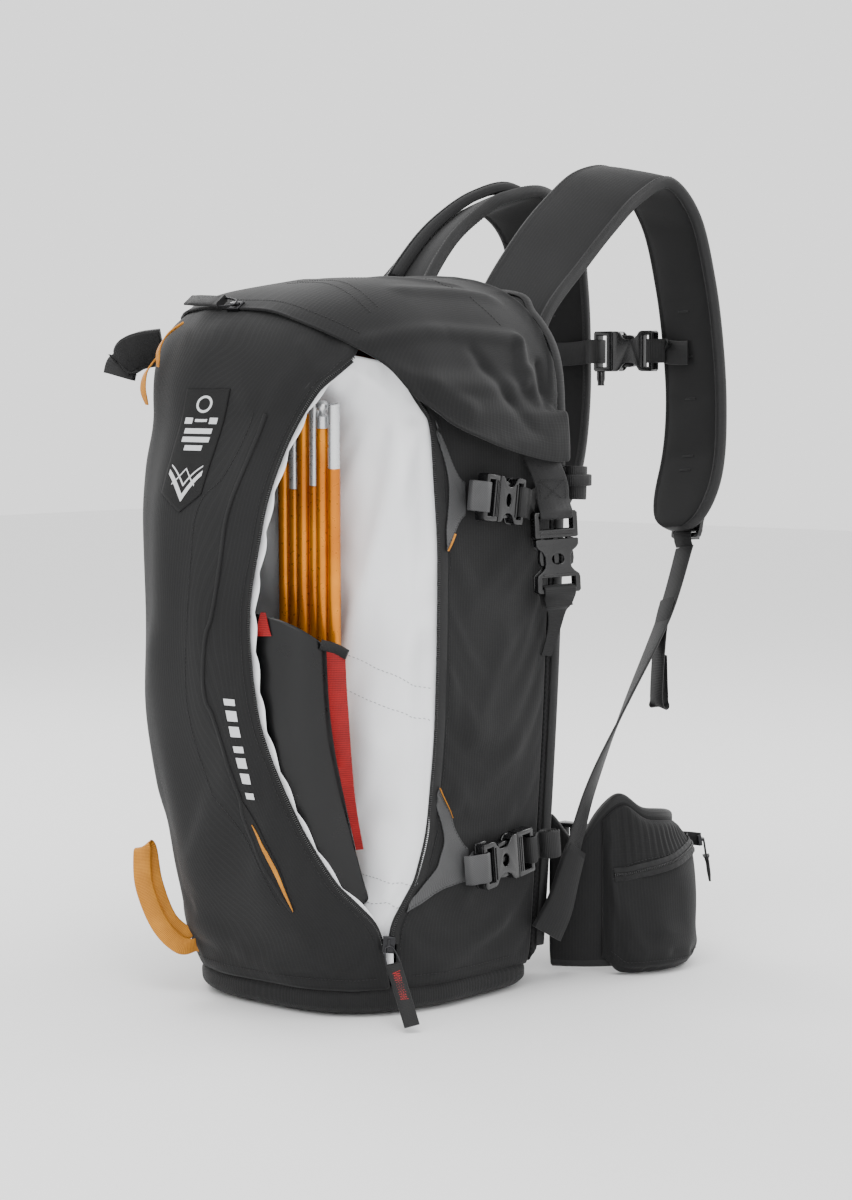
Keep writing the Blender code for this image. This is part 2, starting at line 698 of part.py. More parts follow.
def side_tab(name, z_low, z_high, apex_low, apex_high, apex_y):
    """A coated tab on the right side, wide along the zip and narrow at the socket's bar."""
    mesh_rows = []
    for k in range(9):
        s = k / 8
        z_zip = z_low + (z_high - z_low) * s
        rise_zip = (z_zip - SEAM_Z) / (SHOULDER_Z - SEAM_Z)
        turn_zip = right_zip(rise_zip) + 2.5
        z_apex = apex_low + (apex_high - apex_low) * s
        rise_apex = (z_apex - SEAM_Z) / (SHOULDER_Z - SEAM_Z)
        turn_apex = turn_at(apex_y, rise_apex)
        row = []
        for i in range(7):
            t = i / 6
            ease = t * t * (3 - 2 * t) * 0.5 + t * 0.5
            row.append((turn_zip + (turn_apex - turn_zip) * t, rise_zip + (rise_apex - rise_zip) * ease))
        mesh_rows.append(row)
    rings = []
    for row in mesh_rows:
        outer = [shell(turn, rise, -0.0020) for turn, rise in row]
        inner = [shell(turn, rise, -0.0007) for turn, rise in reversed(row)]
        rings.append(outer + inner)
    return loft(name, rings, COATED_TAB)


def make_side_tabs():
    side_tab("right_upper_tab", 0.338, 0.432, 0.362, 0.386, -0.0225)
    side_tab("right_lower_tab", 0.078, 0.166, 0.094, 0.118, -0.009)


def make_side_webbing():
    """Webbing on the plugs: each strip lies along the bag's side and moves off with its plug."""
    start = bar_of(LOWER_BUCKLE, PLUG_LENGTH + 0.0015)
    webbing_strip("right_lower_webbing", [start, start + Vector((0.0010, 0.008, 0.001)),
                                          start + Vector((0.0015, 0.015, 0.002))], (0, -0.1, 1), 0.020, 4)
    start = bar_of(LID_BUCKLE, PLUG_LENGTH + 0.0015)
    across = LID_BUCKLE.col[1].to_3d()
    webbing_strip("right_lid_webbing", [start, start + Vector((-0.001, -0.002, 0.012)),
                                        start + Vector((-0.003, -0.005, 0.026))], across, 0.025, 4)


# ---------------------------------------------------------------- harness
def make_ladder_lock(name, hand):
    """A tilting adjuster at the strap's free end, on its outer face."""
    place = ladder_place(hand)
    piece = block(name, (-0.003, -0.0165, -0.002), (0.027, 0.0165, 0.002), BUCKLE_PLASTIC)
    for low, high in ((0.002, 0.0070), (0.0110, 0.0150), (0.0180, 0.0225)):
        cut_block(piece, (low, -0.0128, -0.01), (high, 0.0128, 0.01))
    piece.matrix_world = place


def ladder_place(hand):
    frames = strap_frames(hand)
    point, across, up = frames[-2]
    ahead = frames[-1][0]
    out = up if up.y > 0 else -up
    origin = point + out * (STRAP_THICKNESS / 2 + 0.0050)
    return place_at(origin, (ahead - point) + out * 0.002, out)


def make_lower_webbing(name, hand):
    """From the ladder lock down past the hip belt to the bag's lower back corner."""
    place = ladder_place(hand)
    start = place @ Vector((0.0345, 0, 0.001))
    stops = [start, Vector((hand * 0.098, 0.275, 0.268)), Vector((hand * 0.110, 0.205, 0.205)),
             Vector((hand * 0.124, 0.140, 0.150)), Vector((hand * 0.1275, 0.114, 0.112)),
             Vector((hand * 0.1265, 0.0965, 0.070))]
    sides = [(0.95, -0.3, 0), (0.90, -0.4, 0.1), (0.7, -0.6, 0.35), (0.30, -0.75, 0.55), (0.1, -0.86, 0.5),
             (0.05, -0.86, 0.5)]
    sides = [(x, hand * y, hand * z) for x, y, z in sides]
    webbing_strip(name, stops, sides, 0.020, 18)


def hip_point(angle, grow, z):
    """A point of the hip belt's oval; angle 0 is the wearer's right, -90 the back panel side."""
    a = math.radians(angle)
    return Vector(((HIP_HALF_WIDTH + grow) * math.cos(a),
                   HIP_CENTRE_Y + (HIP_HALF_DEPTH + grow) * math.sin(a), z))


def hip_wall(name, start, stop, low, high, inner, outer, material, count):
    """A stretch of the oval as a wall. low and high give its edges at a share of the way."""
    rings = []
    for k in range(count):
        s = k / (count - 1)
        angle = start + (stop - start) * s
        bottom = low(s)
        top = high(s)
        edge = 0.004
        grow_in = inner(s)
        grow_out = outer(s)
        middle = (grow_in + grow_out) / 2
        ring = [hip_point(angle, middle, bottom), hip_point(angle, grow_out, bottom + edge),
                hip_point(angle, grow_out, top - edge), hip_point(angle, middle, top),
                hip_point(angle, grow_in, top - edge), hip_point(angle, grow_in, bottom + edge)]
        rings.append(ring)
    return loft(name, rings, material)


def mirror_piece(piece, name):
    """A copy of a right-hand piece on the left."""
    data = piece.data.copy()
    data.name = name
    data.transform(Matrix.Diagonal((-1, 1, 1, 1)))
    data.flip_normals()
    copy = bpy.data.objects.new(name, data)
    bpy.context.scene.collection.objects.link(copy)
    return copy


def make_hip_belt():
    half = WING_THICKNESS / 2
    hip_wall("lumbar_pad", -128, -52, lambda s: 0.024, lambda s: 0.150, lambda s: -half, lambda s: half,
             MESH_FABRIC, 9)
    wing = hip_wall("right_hip_wing", -51.2, 62, lambda s: WING_BOTTOM + 0.030 * s ** 3,
                    lambda s: WING_TOP - 0.034 * s ** 3, lambda s: -half, lambda s: half, MESH_FABRIC, 15)
    mirror_piece(wing, "left_hip_wing")
    gap = half + 0.0006
    pocket = hip_wall("right_hip_pocket", -32, 46, lambda s: 0.0, lambda s: 0.118 - 0.010 * s,
                      lambda s: gap, lambda s: gap + 0.004 + 0.020 * math.sin(math.pi * min(s + 0.04, 1.0)) ** 0.7,
                      SHELL_FABRIC, 13)
    mirror_piece(pocket, "left_hip_pocket")


HIP_BUCKLE = place_at(Vector((0.008, 0.283, 0.070)), (-1, 0, 0), (0, 1, 0))


def make_hip_closure():
    """Belt webbing from both wings to the clipped front buckle."""
    make_socket("hip_buckle_socket", HIP_BUCKLE)
    make_plug("hip_buckle_plug", HIP_BUCKLE)
    start = bar_of(HIP_BUCKLE, -SOCKET_LENGTH - 0.0015)
    webbing_strip("right_belt_webbing", [Vector((0.076, 0.2755, 0.070)), Vector((0.066, 0.2785, 0.070)), start],
                  (0, 0, 1), 0.025, 6)
    start = bar_of(HIP_BUCKLE, PLUG_LENGTH + 0.0015)
    webbing_strip("left_belt_webbing", [start, Vector((-0.040, 0.2825, 0.070)), Vector((-0.064, 0.2800, 0.070))],
                  (0, 0, 1), 0.025, 6)


STERNUM_BUCKLE = place_at(Vector((0.010, 0.330, 0.485)), (-1, 0.0, 0), (0, 1, 0))


def make_sternum_strap():
    """Webbing on the straps' inner faces, meeting in a buckle between them."""
    make_socket("sternum_socket", STERNUM_BUCKLE)
    make_plug("sternum_plug", STERNUM_BUCKLE)
    start = bar_of(STERNUM_BUCKLE, -SOCKET_LENGTH - 0.0015)
    webbing_strip("right_sternum_webbing", [start, Vector((0.062, 0.3300, 0.484)), Vector((0.076, 0.3265, 0.483)),
                                            Vector((0.086, 0.3235, 0.483))], (0, 0, 1), 0.020, 8)
    start = bar_of(STERNUM_BUCKLE, PLUG_LENGTH + 0.0015)
    webbing_strip("left_sternum_webbing", [start, Vector((-0.024, 0.3290, 0.484)), Vector((-0.038, 0.3255, 0.483)),
                                           Vector((-0.050, 0.3220, 0.483))], (0, 0, 1), 0.020, 8)


def make_haul_loop():
    webbing_strip("haul_loop", [(0, 0.0955, 0.462), (0, 0.112, 0.463), (0, 0.126, 0.480), (0, 0.126, 0.500),
                                (0, 0.112, 0.515), (0, 0.0955, 0.516)], (1, 0, 0), 0.020, 16)


def make_ice_axe_loop():
    """An amber webbing loop sewn into the bottom seam at the front left."""
    root = shell(-118, 0.03, -0.0060)
    points = [root + Vector((0.006, 0.001, 0.006)), root + Vector((-0.002, -0.010, 0.006)),
              root + Vector((-0.014, -0.020, 0.022)), root + Vector((-0.026, -0.022, 0.050)),
              root + Vector((-0.034, -0.016, 0.074))]
    webbing_strip("ice_axe_loop", points, (0.62, 0.62, 0.48), 0.010, 14, AMBER_WEBBING)


def make_axe_keeper():
    """The hook-and-loop keeper for a tool shaft, sewn into the left seam near the top."""
    root = shell(-136, 1.17, -0.0085)
    points = [root, root + Vector((-0.010, -0.006, -0.004)), root + Vector((-0.020, -0.009, -0.014))]
    sweep("axe_keeper", points, (0.05, 0.25, 0.95), flat_section(0.028, 0.006), BLACK_WEBBING, 6)


# ---------------------------------------------------------------- zip pullers
def make_puller(name, pivot, down, across, length):
    """A slider's pull: a wire bail and a fabric tab, turning about its pivot."""
    place = place_at(Vector(pivot), down, Vector(down).cross(Vector(across)))
    piece = block(name, (0.0, -0.0045, -0.0008), (0.016, 0.0045, 0.0008), BLACK_WEBBING)
    cut_block(piece, (0.0025, -0.0028, -0.01), (0.012, 0.0028, 0.01))
    join_block(piece, (0.0145, -0.0058, -0.0016), (length, 0.0058, 0.0016))
    piece.matrix_world = place


MAIN_PIVOT = shell(-41.5, 0.085, -0.0060)
TOP_PIVOT = shell(-91, LID_SEAM_RISE, -0.0065)
POCKET_PIVOT = hip_point(36, 0.035, 0.092)


def make_pullers():
    make_puller("main_zip_puller", MAIN_PIVOT, (0.354, -0.157, -0.50), (0.64, 0.74, 0.2), 0.062)
    make_puller("top_zip_puller", TOP_PIVOT, (-1.0, 0.02, 0.06), (0.0, -0.8, -0.6), 0.048)
    make_puller("right_pocket_puller", POCKET_PIVOT, (0.10, 0.12, -0.98), (-0.6, 0.8, 0), 0.034)
    make_puller("left_pocket_puller", POCKET_PIVOT * Vector((-1, 1, 1)), (-0.10, 0.12, -0.98), (-0.6, -0.8, 0),
                0.034)


make_back_panel()
make_frame_sheet()
make_front_panel()
make_right_side_panel()
make_left_side_panel()
make_top_cover()
make_base_panel()
make_tool_lining()
make_shovel_blade()
make_shovel_sleeve()
make_probe()
make_airbag()
make_cylinder()
make_inflator()
make_shoulder_strap("right_shoulder_strap", 1)
make_shoulder_strap("left_shoulder_strap", -1)
make_trigger_sleeve()
make_trigger_cable()
make_trigger_handle()
make_side_tabs()
make_side_straps()
make_side_webbing()
make_ladder_lock("right_ladder_lock", 1)
make_ladder_lock("left_ladder_lock", -1)
make_lower_webbing("right_lower_strap", 1)
make_lower_webbing("left_lower_strap", -1)
make_hip_belt()
make_hip_closure()
make_sternum_strap()
make_haul_loop()
make_ice_axe_loop()
make_axe_keeper()
make_pullers()
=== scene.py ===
"""Looks of the avalanche airbag backpack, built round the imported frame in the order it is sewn."""

import math

import bmesh
import bpy
from mathutils import Matrix, Vector, noise
from mathutils.bvhtree import BVHTree


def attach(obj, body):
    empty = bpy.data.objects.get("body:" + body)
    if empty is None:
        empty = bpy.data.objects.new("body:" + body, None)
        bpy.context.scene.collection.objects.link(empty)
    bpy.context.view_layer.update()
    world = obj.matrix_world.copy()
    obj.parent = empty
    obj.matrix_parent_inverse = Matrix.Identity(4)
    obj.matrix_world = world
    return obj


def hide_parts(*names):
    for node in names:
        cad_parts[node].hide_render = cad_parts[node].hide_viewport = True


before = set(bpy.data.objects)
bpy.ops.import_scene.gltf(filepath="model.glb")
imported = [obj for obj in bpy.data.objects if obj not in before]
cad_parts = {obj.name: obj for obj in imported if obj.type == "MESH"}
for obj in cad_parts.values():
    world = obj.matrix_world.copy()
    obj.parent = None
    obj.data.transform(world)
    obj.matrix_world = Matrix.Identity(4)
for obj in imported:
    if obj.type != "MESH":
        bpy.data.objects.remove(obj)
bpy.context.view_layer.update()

# ------------------------------------------------------------------ camera, floor and light
# A long lens a little above the pack's middle, in front of its right side. The pack stands on a
# pale floor under one broad lamp overhead, with softer ones to its right, its left and behind it.
eye = Vector((1.2856, -1.4921, 0.45))
aim = Vector((0.023, 0.059, 0.291))
camera = bpy.data.objects.new("camera", bpy.data.cameras.new("camera"))
bpy.context.scene.collection.objects.link(camera)
camera.location = eye
camera.rotation_euler = (aim - eye).to_track_quat("-Z", "Y").to_euler()
camera.data.lens = 78.2
camera.data.sensor_width = 36
bpy.context.scene.camera = camera


def mesh_object(name, mesh, material):
    """A bmesh as an object at the origin, smooth, with one material."""
    data = bpy.data.meshes.new(name)
    mesh.to_mesh(data)
    mesh.free()
    data.shade_smooth()
    if material:
        data.materials.append(material)
    piece = bpy.data.objects.new(name, data)
    bpy.context.scene.collection.objects.link(piece)
    return piece


def plain_shader(name, colour, roughness, metallic=0.0, sheen=0.0, coat=0.0, specular=0.5):
    """A material whose even values sit on the shader itself."""
    material = bpy.data.materials.new(name)
    material.use_nodes = True
    shader = material.node_tree.nodes["Principled BSDF"]
    shader.inputs["Base Color"].default_value = (*colour, 1)
    shader.inputs["Roughness"].default_value = roughness
    shader.inputs["Metallic"].default_value = metallic
    shader.inputs["Sheen Weight"].default_value = sheen
    shader.inputs["Sheen Roughness"].default_value = 0.4
    shader.inputs["Coat Weight"].default_value = coat
    shader.inputs["Specular IOR Level"].default_value = specular
    return material


floor_mesh = bmesh.new()
bmesh.ops.create_grid(floor_mesh, x_segments=1, y_segments=1, size=6)
bmesh.ops.translate(floor_mesh, verts=floor_mesh.verts[:], vec=(0, 0, -0.0008))
floor = mesh_object("floor", floor_mesh, plain_shader("floor_paint", (0.86, 0.86, 0.86), 0.7))

world = bpy.data.worlds.new("studio")
world.use_nodes = True
world.node_tree.nodes["Background"].inputs["Color"].default_value = (1, 1, 1, 1)
world.node_tree.nodes["Background"].inputs["Strength"].default_value = 1.6
bpy.context.scene.world = world
for place, size, power in (((0.5, -0.8, 2.3), 1.3, 30), ((1.9, -1.3, 1.0), 0.9, 8),
                           ((-1.7, 0.4, 1.5), 0.8, 18), ((0.6, 1.9, 1.5), 0.8, 14)):
    lamp = bpy.data.objects.new("lamp", bpy.data.lights.new("lamp", "AREA"))
    lamp.data.size = size
    lamp.data.energy = power
    lamp.location = place
    lamp.rotation_euler = (Vector((0, 0.05, 0.3)) - Vector(place)).to_track_quat("-Z", "Y").to_euler()
    bpy.context.scene.collection.objects.link(lamp)

# ------------------------------------------------------------------ front panel
# Charcoal ripstop in one piece from the zip round to the left seam. It is cut a little full and
# sewn in all round, so it hangs in soft upright folds.
# A place on the bag is (turn, rise): turn runs in degrees from 0 at the right back edge through -90
# at the front to -180 at the left back edge; rise is 0 at the bottom seam, 1 at the shoulder and 2
# at the top of the back panel.
BACK_Y = 0.075
SEAM_Z = 0.018
SHOULDER_Z = 0.435
HALF_WIDTHS = [(0.018, 0.112), (0.12, 0.119), (0.24, 0.126), (0.36, 0.130), (0.435, 0.131)]
DEPTHS = [(0.018, 0.180), (0.12, 0.215), (0.24, 0.232), (0.36, 0.232), (0.435, 0.220)]
TOP_HEIGHT = 0.100
LEFT_ZIP = [(0.0, -43), (0.10, -44), (0.20, -58), (0.32, -70), (0.50, -80), (0.65, -82.5), (0.80, -79),
            (0.95, -73), (1.06, -63), (1.10, -57), (1.14, -52)]
RIGHT_ZIP = [(0.0, -42), (0.10, -39), (0.20, -28), (0.30, -23.5), (0.50, -21), (0.75, -21.5),
             (0.96, -25), (1.06, -31), (1.14, -37)]
ZIP_TOP = 1.14
LEFT_SEAM = -146


def ease(x):
    """A smooth step from 0 to 1 as x goes from 0 to 1."""
    x = min(max(x, 0.0), 1.0)
    return x * x * (3 - 2 * x)


def between(stops, x):
    """The value at x of a smooth curve through stops, a list of (x, value), with no overshoot."""
    xs = [stop[0] for stop in stops]
    ys = [stop[1] for stop in stops]
    last = len(stops) - 2
    slopes = [(ys[i + 1] - ys[i]) / (xs[i + 1] - xs[i]) for i in range(last + 1)]
    tangents = [slopes[0]]
    for before, after in zip(slopes, slopes[1:]):
        tangents.append(0.0 if before * after <= 0 else 2 * before * after / (before + after))
    tangents.append(slopes[-1])
    x = min(max(x, xs[0]), xs[-1])
    i = min(max(k for k in range(len(xs)) if xs[k] <= x), last)
    step = xs[i + 1] - xs[i]
    t = (x - xs[i]) / step
    bend = (t ** 3 - 2 * t * t + t) * tangents[i] + (t ** 3 - t * t) * tangents[i + 1]
    return ys[i] + (ys[i + 1] - ys[i]) * (3 * t * t - 2 * t ** 3) + step * bend


def bag(turn, rise, lift=0.0):
    """A point on the bag at (turn, rise), lifted off it. The top fans back about the shoulder line."""
    z = SEAM_Z + (SHOULDER_Z - SEAM_Z) * min(rise, 1.0)
    lean = max(rise - 1.0, 0.0) * math.pi / 2
    half = between(HALF_WIDTHS, z)
    depth = between(DEPTHS, z)
    if lean > 0:
        depth = ((math.cos(lean) / depth) ** 3.3 + (math.sin(lean) / TOP_HEIGHT) ** 3.3) ** (-1 / 3.3)
    power = 2 / (3.2 - 0.5 * math.sin(lean) ** 2)
    c = math.cos(math.radians(turn))
    s = abs(math.sin(math.radians(turn)))
    x = (half + lift) * math.copysign(abs(c) ** power, c)
    out = (depth + lift) * s ** power
    return Vector((x, BACK_Y - out * math.cos(lean), z + out * math.sin(lean)))


def left_zip(rise):
    """The turn of the opening's left edge at a rise."""
    return between(LEFT_ZIP, rise)


def right_zip(rise):
    """The turn of the opening's right edge at a rise."""
    return between(RIGHT_ZIP, rise)


LID_HEM = [(-179, 1.25), (-146, 1.26), (-110, 1.25), (-91, 1.235), (-75, 1.20), (-52, 1.155), (-43, 1.13),
           (-33, 1.06), (-24, 0.99), (-14, 0.955), (-1, 0.915)]


def lid_seam(turn):
    """The rise of the lid's hem: high on the left, past the zip's end, and low over the right side."""
    return between(LID_HEM, turn)


def crease(point, start, end, width, height):
    """How far a fold from start to end, two (turn, rise) places, lifts the cloth at a point."""
    a = bag(*start)
    along = bag(*end) - a
    share = (point - a).dot(along) / along.length_squared
    near = a + along * min(max(share, 0.0), 1.0)
    distance = (point - near).length / width
    taper = ease(min(share + 0.12, 1.12 - share) / 0.25)
    return height * math.exp(-distance * distance) * taper


def ripple(point, scale, height, seed=0.0):
    """Soft uneven swelling of cloth, the same each time."""
    return height * noise.noise(Vector((point.x + seed, point.y - seed, point.z + 2 * seed)) / scale)


def cloth_sheet(name, place, columns, rows, material, closed=False):
    """A sheet of cloth over shares (s, t) of a pattern piece. Its UV map is the cloth's own, in metres."""
    grid = [[place(i / columns, j / rows) for i in range(columns + 1)] for j in range(rows + 1)]
    mesh = bmesh.new()
    cloth = mesh.loops.layers.uv.new("cloth")
    wide = [sum((row[i + 1] - row[i]).length for i in range(columns)) for row in grid]
    tall = [sum((grid[j + 1][i] - grid[j][i]).length for j in range(rows)) for i in range(columns + 1)]
    width = sum(wide) / len(wide)
    height = sum(tall) / len(tall)
    verts = [[mesh.verts.new(point) for point in row] for row in grid]
    for j in range(rows):
        for i in range(columns):
            face = mesh.faces.new((verts[j][i], verts[j][i + 1], verts[j + 1][i + 1], verts[j + 1][i]))
            for loop, (a, b) in zip(face.loops, ((i, j), (i + 1, j), (i + 1, j + 1), (i, j + 1))):
                loop[cloth].uv = (a / columns * width, b / rows * height)
    if closed:
        bmesh.ops.remove_doubles(mesh, verts=mesh.verts[:], dist=0.00001)
    return mesh_object(name, mesh, material)


def settle(piece, slack, cap, frames=14, push=0.0, weight=0.35, held=None):
    """Lets a sewn sheet hang from its own edges with a little spare cloth, and keeps the result. A pad
    is swelled by pressure instead, held at its seams."""
    if held is None:
        mesh = bmesh.new()
        mesh.from_mesh(piece.data)
        held = [vert.index for vert in mesh.verts if vert.is_boundary]
        mesh.free()
    group = piece.vertex_groups.new(name="held")
    group.add(held, 1.0, "REPLACE")
    cloth = piece.modifiers.new("cloth", "CLOTH")
    cloth.settings.vertex_group_mass = "held"
    cloth.settings.quality = 6
    cloth.settings.mass = 0.25
    cloth.settings.tension_stiffness = 18
    cloth.settings.compression_stiffness = 18
    cloth.settings.shear_stiffness = 6
    cloth.settings.bending_stiffness = 1.2
    cloth.settings.shrink_min = -slack
    cloth.settings.effector_weights.gravity = weight
    if push:
        cloth.settings.use_pressure = True
        cloth.settings.uniform_pressure_force = push
    cloth.point_cache.frame_start = 1
    cloth.point_cache.frame_end = frames
    rest = [vert.co.copy() for vert in piece.data.vertices]
    for step in range(1, frames + 1):
        bpy.context.scene.frame_set(step)
    shape = piece.evaluated_get(bpy.context.evaluated_depsgraph_get()).to_mesh()
    moved = [vert.co.copy() for vert in shape.vertices]
    piece.modifiers.remove(cloth)
    piece.vertex_groups.remove(group)
    for vert, was, now in zip(piece.data.vertices, rest, moved):
        shift = now - was
        far = shift.length
        if far > 1e-9:
            vert.co = was + shift * (cap * math.tanh(far / cap) / far)
    bpy.context.scene.frame_set(1)


def finish_cloth(piece, thickness, body="pack", node=None, levels=1, offset=-1):
    """Gives a sheet its smoothness and thickness and fixes it to its body."""
    if levels:
        smooth = piece.modifiers.new("smooth", "SUBSURF")
        smooth.levels = levels
        smooth.render_levels = levels
    if thickness:
        wall = piece.modifiers.new("wall", "SOLIDIFY")
        wall.thickness = thickness
        wall.offset = offset
    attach(piece, body)
    if node:
        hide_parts(*([node] if isinstance(node, str) else node))
    return piece


class Nodes:
    """Short words for building a material's nodes."""

    def __init__(self, material):
        self.tree = material.node_tree
        self.shader = self.tree.nodes["Principled BSDF"]

    def put(self, value, socket):
        if isinstance(value, bpy.types.NodeSocket):
            self.tree.links.new(value, socket)
        else:
            socket.default_value = value

    def math(self, operation, a, b=0.0, c=0.0):
        node = self.tree.nodes.new("ShaderNodeMath")
        node.operation = operation
        for value, socket in zip((a, b, c), node.inputs):
            self.put(value, socket)
        return node.outputs[0]

    def cloth(self):
        """The cloth's own two directions, in metres."""
        node = self.tree.nodes.new("ShaderNodeUVMap")
        node.uv_map = "cloth"
        split = self.tree.nodes.new("ShaderNodeSeparateXYZ")
        self.tree.links.new(node.outputs[0], split.inputs[0])
        return split.outputs[0], split.outputs[1]

    def place(self):
        return self.tree.nodes.new("ShaderNodeTexCoord").outputs["Object"]

    def wave(self, value, pitch, phase=0.0):
        """From 0 to 1 and back once each pitch."""
        turned = self.math("MULTIPLY_ADD", value, 2 * math.pi / pitch, phase)
        return self.math("MULTIPLY_ADD", self.math("SINE", turned), 0.5, 0.5)

    def noise(self, where, scale, detail=2.0, rough=0.5):
        node = self.tree.nodes.new("ShaderNodeTexNoise")
        self.tree.links.new(where, node.inputs["Vector"])
        node.inputs["Scale"].default_value = scale
        node.inputs["Detail"].default_value = detail
        node.inputs["Roughness"].default_value = rough
        return node.outputs[0]

    def span(self, value, low, high, to_low, to_high):
        node = self.tree.nodes.new("ShaderNodeMapRange")
        for item, socket in zip((value, low, high, to_low, to_high), node.inputs):
            self.put(item, socket)
        return node.outputs[0]

    def mix(self, share, first, second):
        node = self.tree.nodes.new("ShaderNodeMix")
        node.data_type = "RGBA"
        self.put(share, node.inputs[0])
        self.put(first if isinstance(first, bpy.types.NodeSocket) else (*first, 1), node.inputs[6])
        self.put(second if isinstance(second, bpy.types.NodeSocket) else (*second, 1), node.inputs[7])
        return node.outputs[2]

    def bump(self, height, distance, strength=1.0):
        node = self.tree.nodes.new("ShaderNodeBump")
        node.inputs["Strength"].default_value = strength
        node.inputs["Distance"].default_value = distance
        self.tree.links.new(height, node.inputs["Height"])
        self.tree.links.new(node.outputs[0], self.shader.inputs["Normal"])

    def colour(self, value):
        self.tree.links.new(value, self.shader.inputs["Base Color"])

    def roughness(self, value):
        self.tree.links.new(value, self.shader.inputs["Roughness"])


def ripstop(name, dark, light, rib=0.0029, thread=0.00085, depth=0.00012, roughness=0.82, sheen=0.06):
    """Woven nylon: a fine thread, a raised rib every few threads up the cloth and a fainter one across."""
    material = plain_shader(name, light, roughness, sheen=sheen, specular=0.3)
    n = Nodes(material)
    u, v = n.cloth()
    fine = n.math("MULTIPLY", n.wave(u, thread), n.wave(v, thread))
    up = n.math("POWER", n.wave(u, rib), 3.0)
    across = n.math("POWER", n.wave(v, rib * 0.5), 5.0)
    height = n.math("ADD", n.math("MULTIPLY_ADD", fine, 0.55, n.math("MULTIPLY", up, 0.5)),
                    n.math("MULTIPLY", across, 0.25))
    wear = n.noise(n.place(), 9.0, 3.0)
    lint = n.span(n.noise(n.place(), 900.0, 1.0), 0.62, 0.80, 0.0, 0.30)
    share = n.math("ADD", n.math("MULTIPLY_ADD", height, 0.40, n.span(wear, 0.3, 0.7, -0.12, 0.25)), lint)
    n.colour(n.mix(share, dark, light))
    n.bump(height, depth)
    return material


shell_cloth = ripstop("shell_ripstop", (0.0050, 0.0050, 0.0053), (0.0155, 0.0157, 0.0162))
CLOTH_THICKNESS = 0.0014


def front_top(s):
    """The rise at which the front panel ends under the lid."""
    start = left_zip(ZIP_TOP)
    return lid_seam(start + (LEFT_SEAM - start) * s) + 0.03


def front_place(s, t):
    """Front panel: s from the zip to the left seam, t up it."""
    rise = 0.004 + (front_top(s) - 0.004) * t
    turn = left_zip(rise) + (LEFT_SEAM - left_zip(rise)) * s
    point = bag(turn, rise)
    edge = min(s, 1 - s) * 0.26
    roll = -0.0016 * math.exp(-edge / 0.004) - 0.0022 * math.exp(-min(t, 1 - t) * 0.5 / 0.005)
    flap = 0.0016 * math.exp(-((s - 0.165 + 0.03 * math.sin(3 * t)) / 0.05) ** 2) * ease(t / 0.3)
    upright = 0.0007 * math.sin(turn * 0.30 + 2.2 * math.sin(3.1 * rise)) * ease(edge / 0.02)
    swell = ripple(point, 0.09, 0.0020) * ease(edge / 0.02)
    for fold in ((-92, 1.20, -84, 1.02, 0.010, 0.0030), (-72, 1.16, -63, 1.09, 0.006, 0.0024),
                 (-104, 1.32, -92, 1.10, 0.012, 0.0025), (-118, 0.12, -84, 0.04, 0.012, 0.0030),
                 (-132, 0.35, -140, 0.10, 0.012, 0.0030), (-75, 0.12, -60, 0.05, 0.009, 0.0026),
                 (-128, 0.95, -138, 0.60, 0.014, 0.0030), (-112, 0.62, -124, 0.30, 0.015, 0.0022)):
        swell += crease(point, fold[0:2], fold[2:4], fold[4], fold[5])
    return bag(turn, rise, roll + flap + upright + swell)


front_panel = cloth_sheet("front_panel_cloth", front_place, 64, 96, shell_cloth)
settle(front_panel, 0.005, 0.0022)
finish_cloth(front_panel, CLOTH_THICKNESS, node="front_panel")

# ------------------------------------------------------------------ base
# A tub of heavier coated cloth, cut in one piece with darted corners and sewn to the panels all
# round. The pack stands on it.
base_cloth = ripstop("base_weave", (0.0045, 0.0045, 0.0048), (0.0125, 0.0127, 0.0130), rib=0.0016,
                     thread=0.0016,
                     depth=0.00018, roughness=0.75)
BASE_SECTION = [(0.0, 0.0208, -0.0050), (0.07, 0.0180, -0.0012), (0.13, 0.0150, 0.0006),
                (0.23, 0.0090, 0.0006), (0.36, 0.0035, -0.0034),
                (0.46, 0.0006, -0.012), (1.0, 0.0004, -0.5)]


def base_place(s, t):
    """Base tub: s round it, t from the bottom seam down and under to its middle."""
    turn = -180.0 * (1 - s / 0.78) if s < 0.78 else 0.0
    if s < 0.78:
        rim = bag(-0.01 + turn * 0.9999, 0.0)
        rim.y = min(rim.y, BACK_Y)
    else:
        rim = Vector((bag(-0.01, 0.0).x * (1 - 2 * (s - 0.78) / 0.22), BACK_Y, 0))
    z = between([(a, b) for a, b, c in BASE_SECTION], t)
    out = between([(a, c) for a, b, c in BASE_SECTION], t)
    flat = Vector((rim.x, rim.y, 0))
    flat *= 1 + max(out / flat.length, -0.98)
    puff = ripple(Vector((flat.x, flat.y, z)), 0.03, 0.0022) * math.sin(math.pi * min(t / 0.46, 1.0))
    return flat * (1 + puff / flat.length) + Vector((0, 0, max(z, 0.0004)))


base = cloth_sheet("base_tub", base_place, 120, 26, base_cloth, closed=True)
finish_cloth(base, 0, node="base_panel")

# ------------------------------------------------------------------ side panels
# The same ripstop. The right one runs from the zip to the back, pulled in a little where the
# buckles draw on it; the left one is plain.


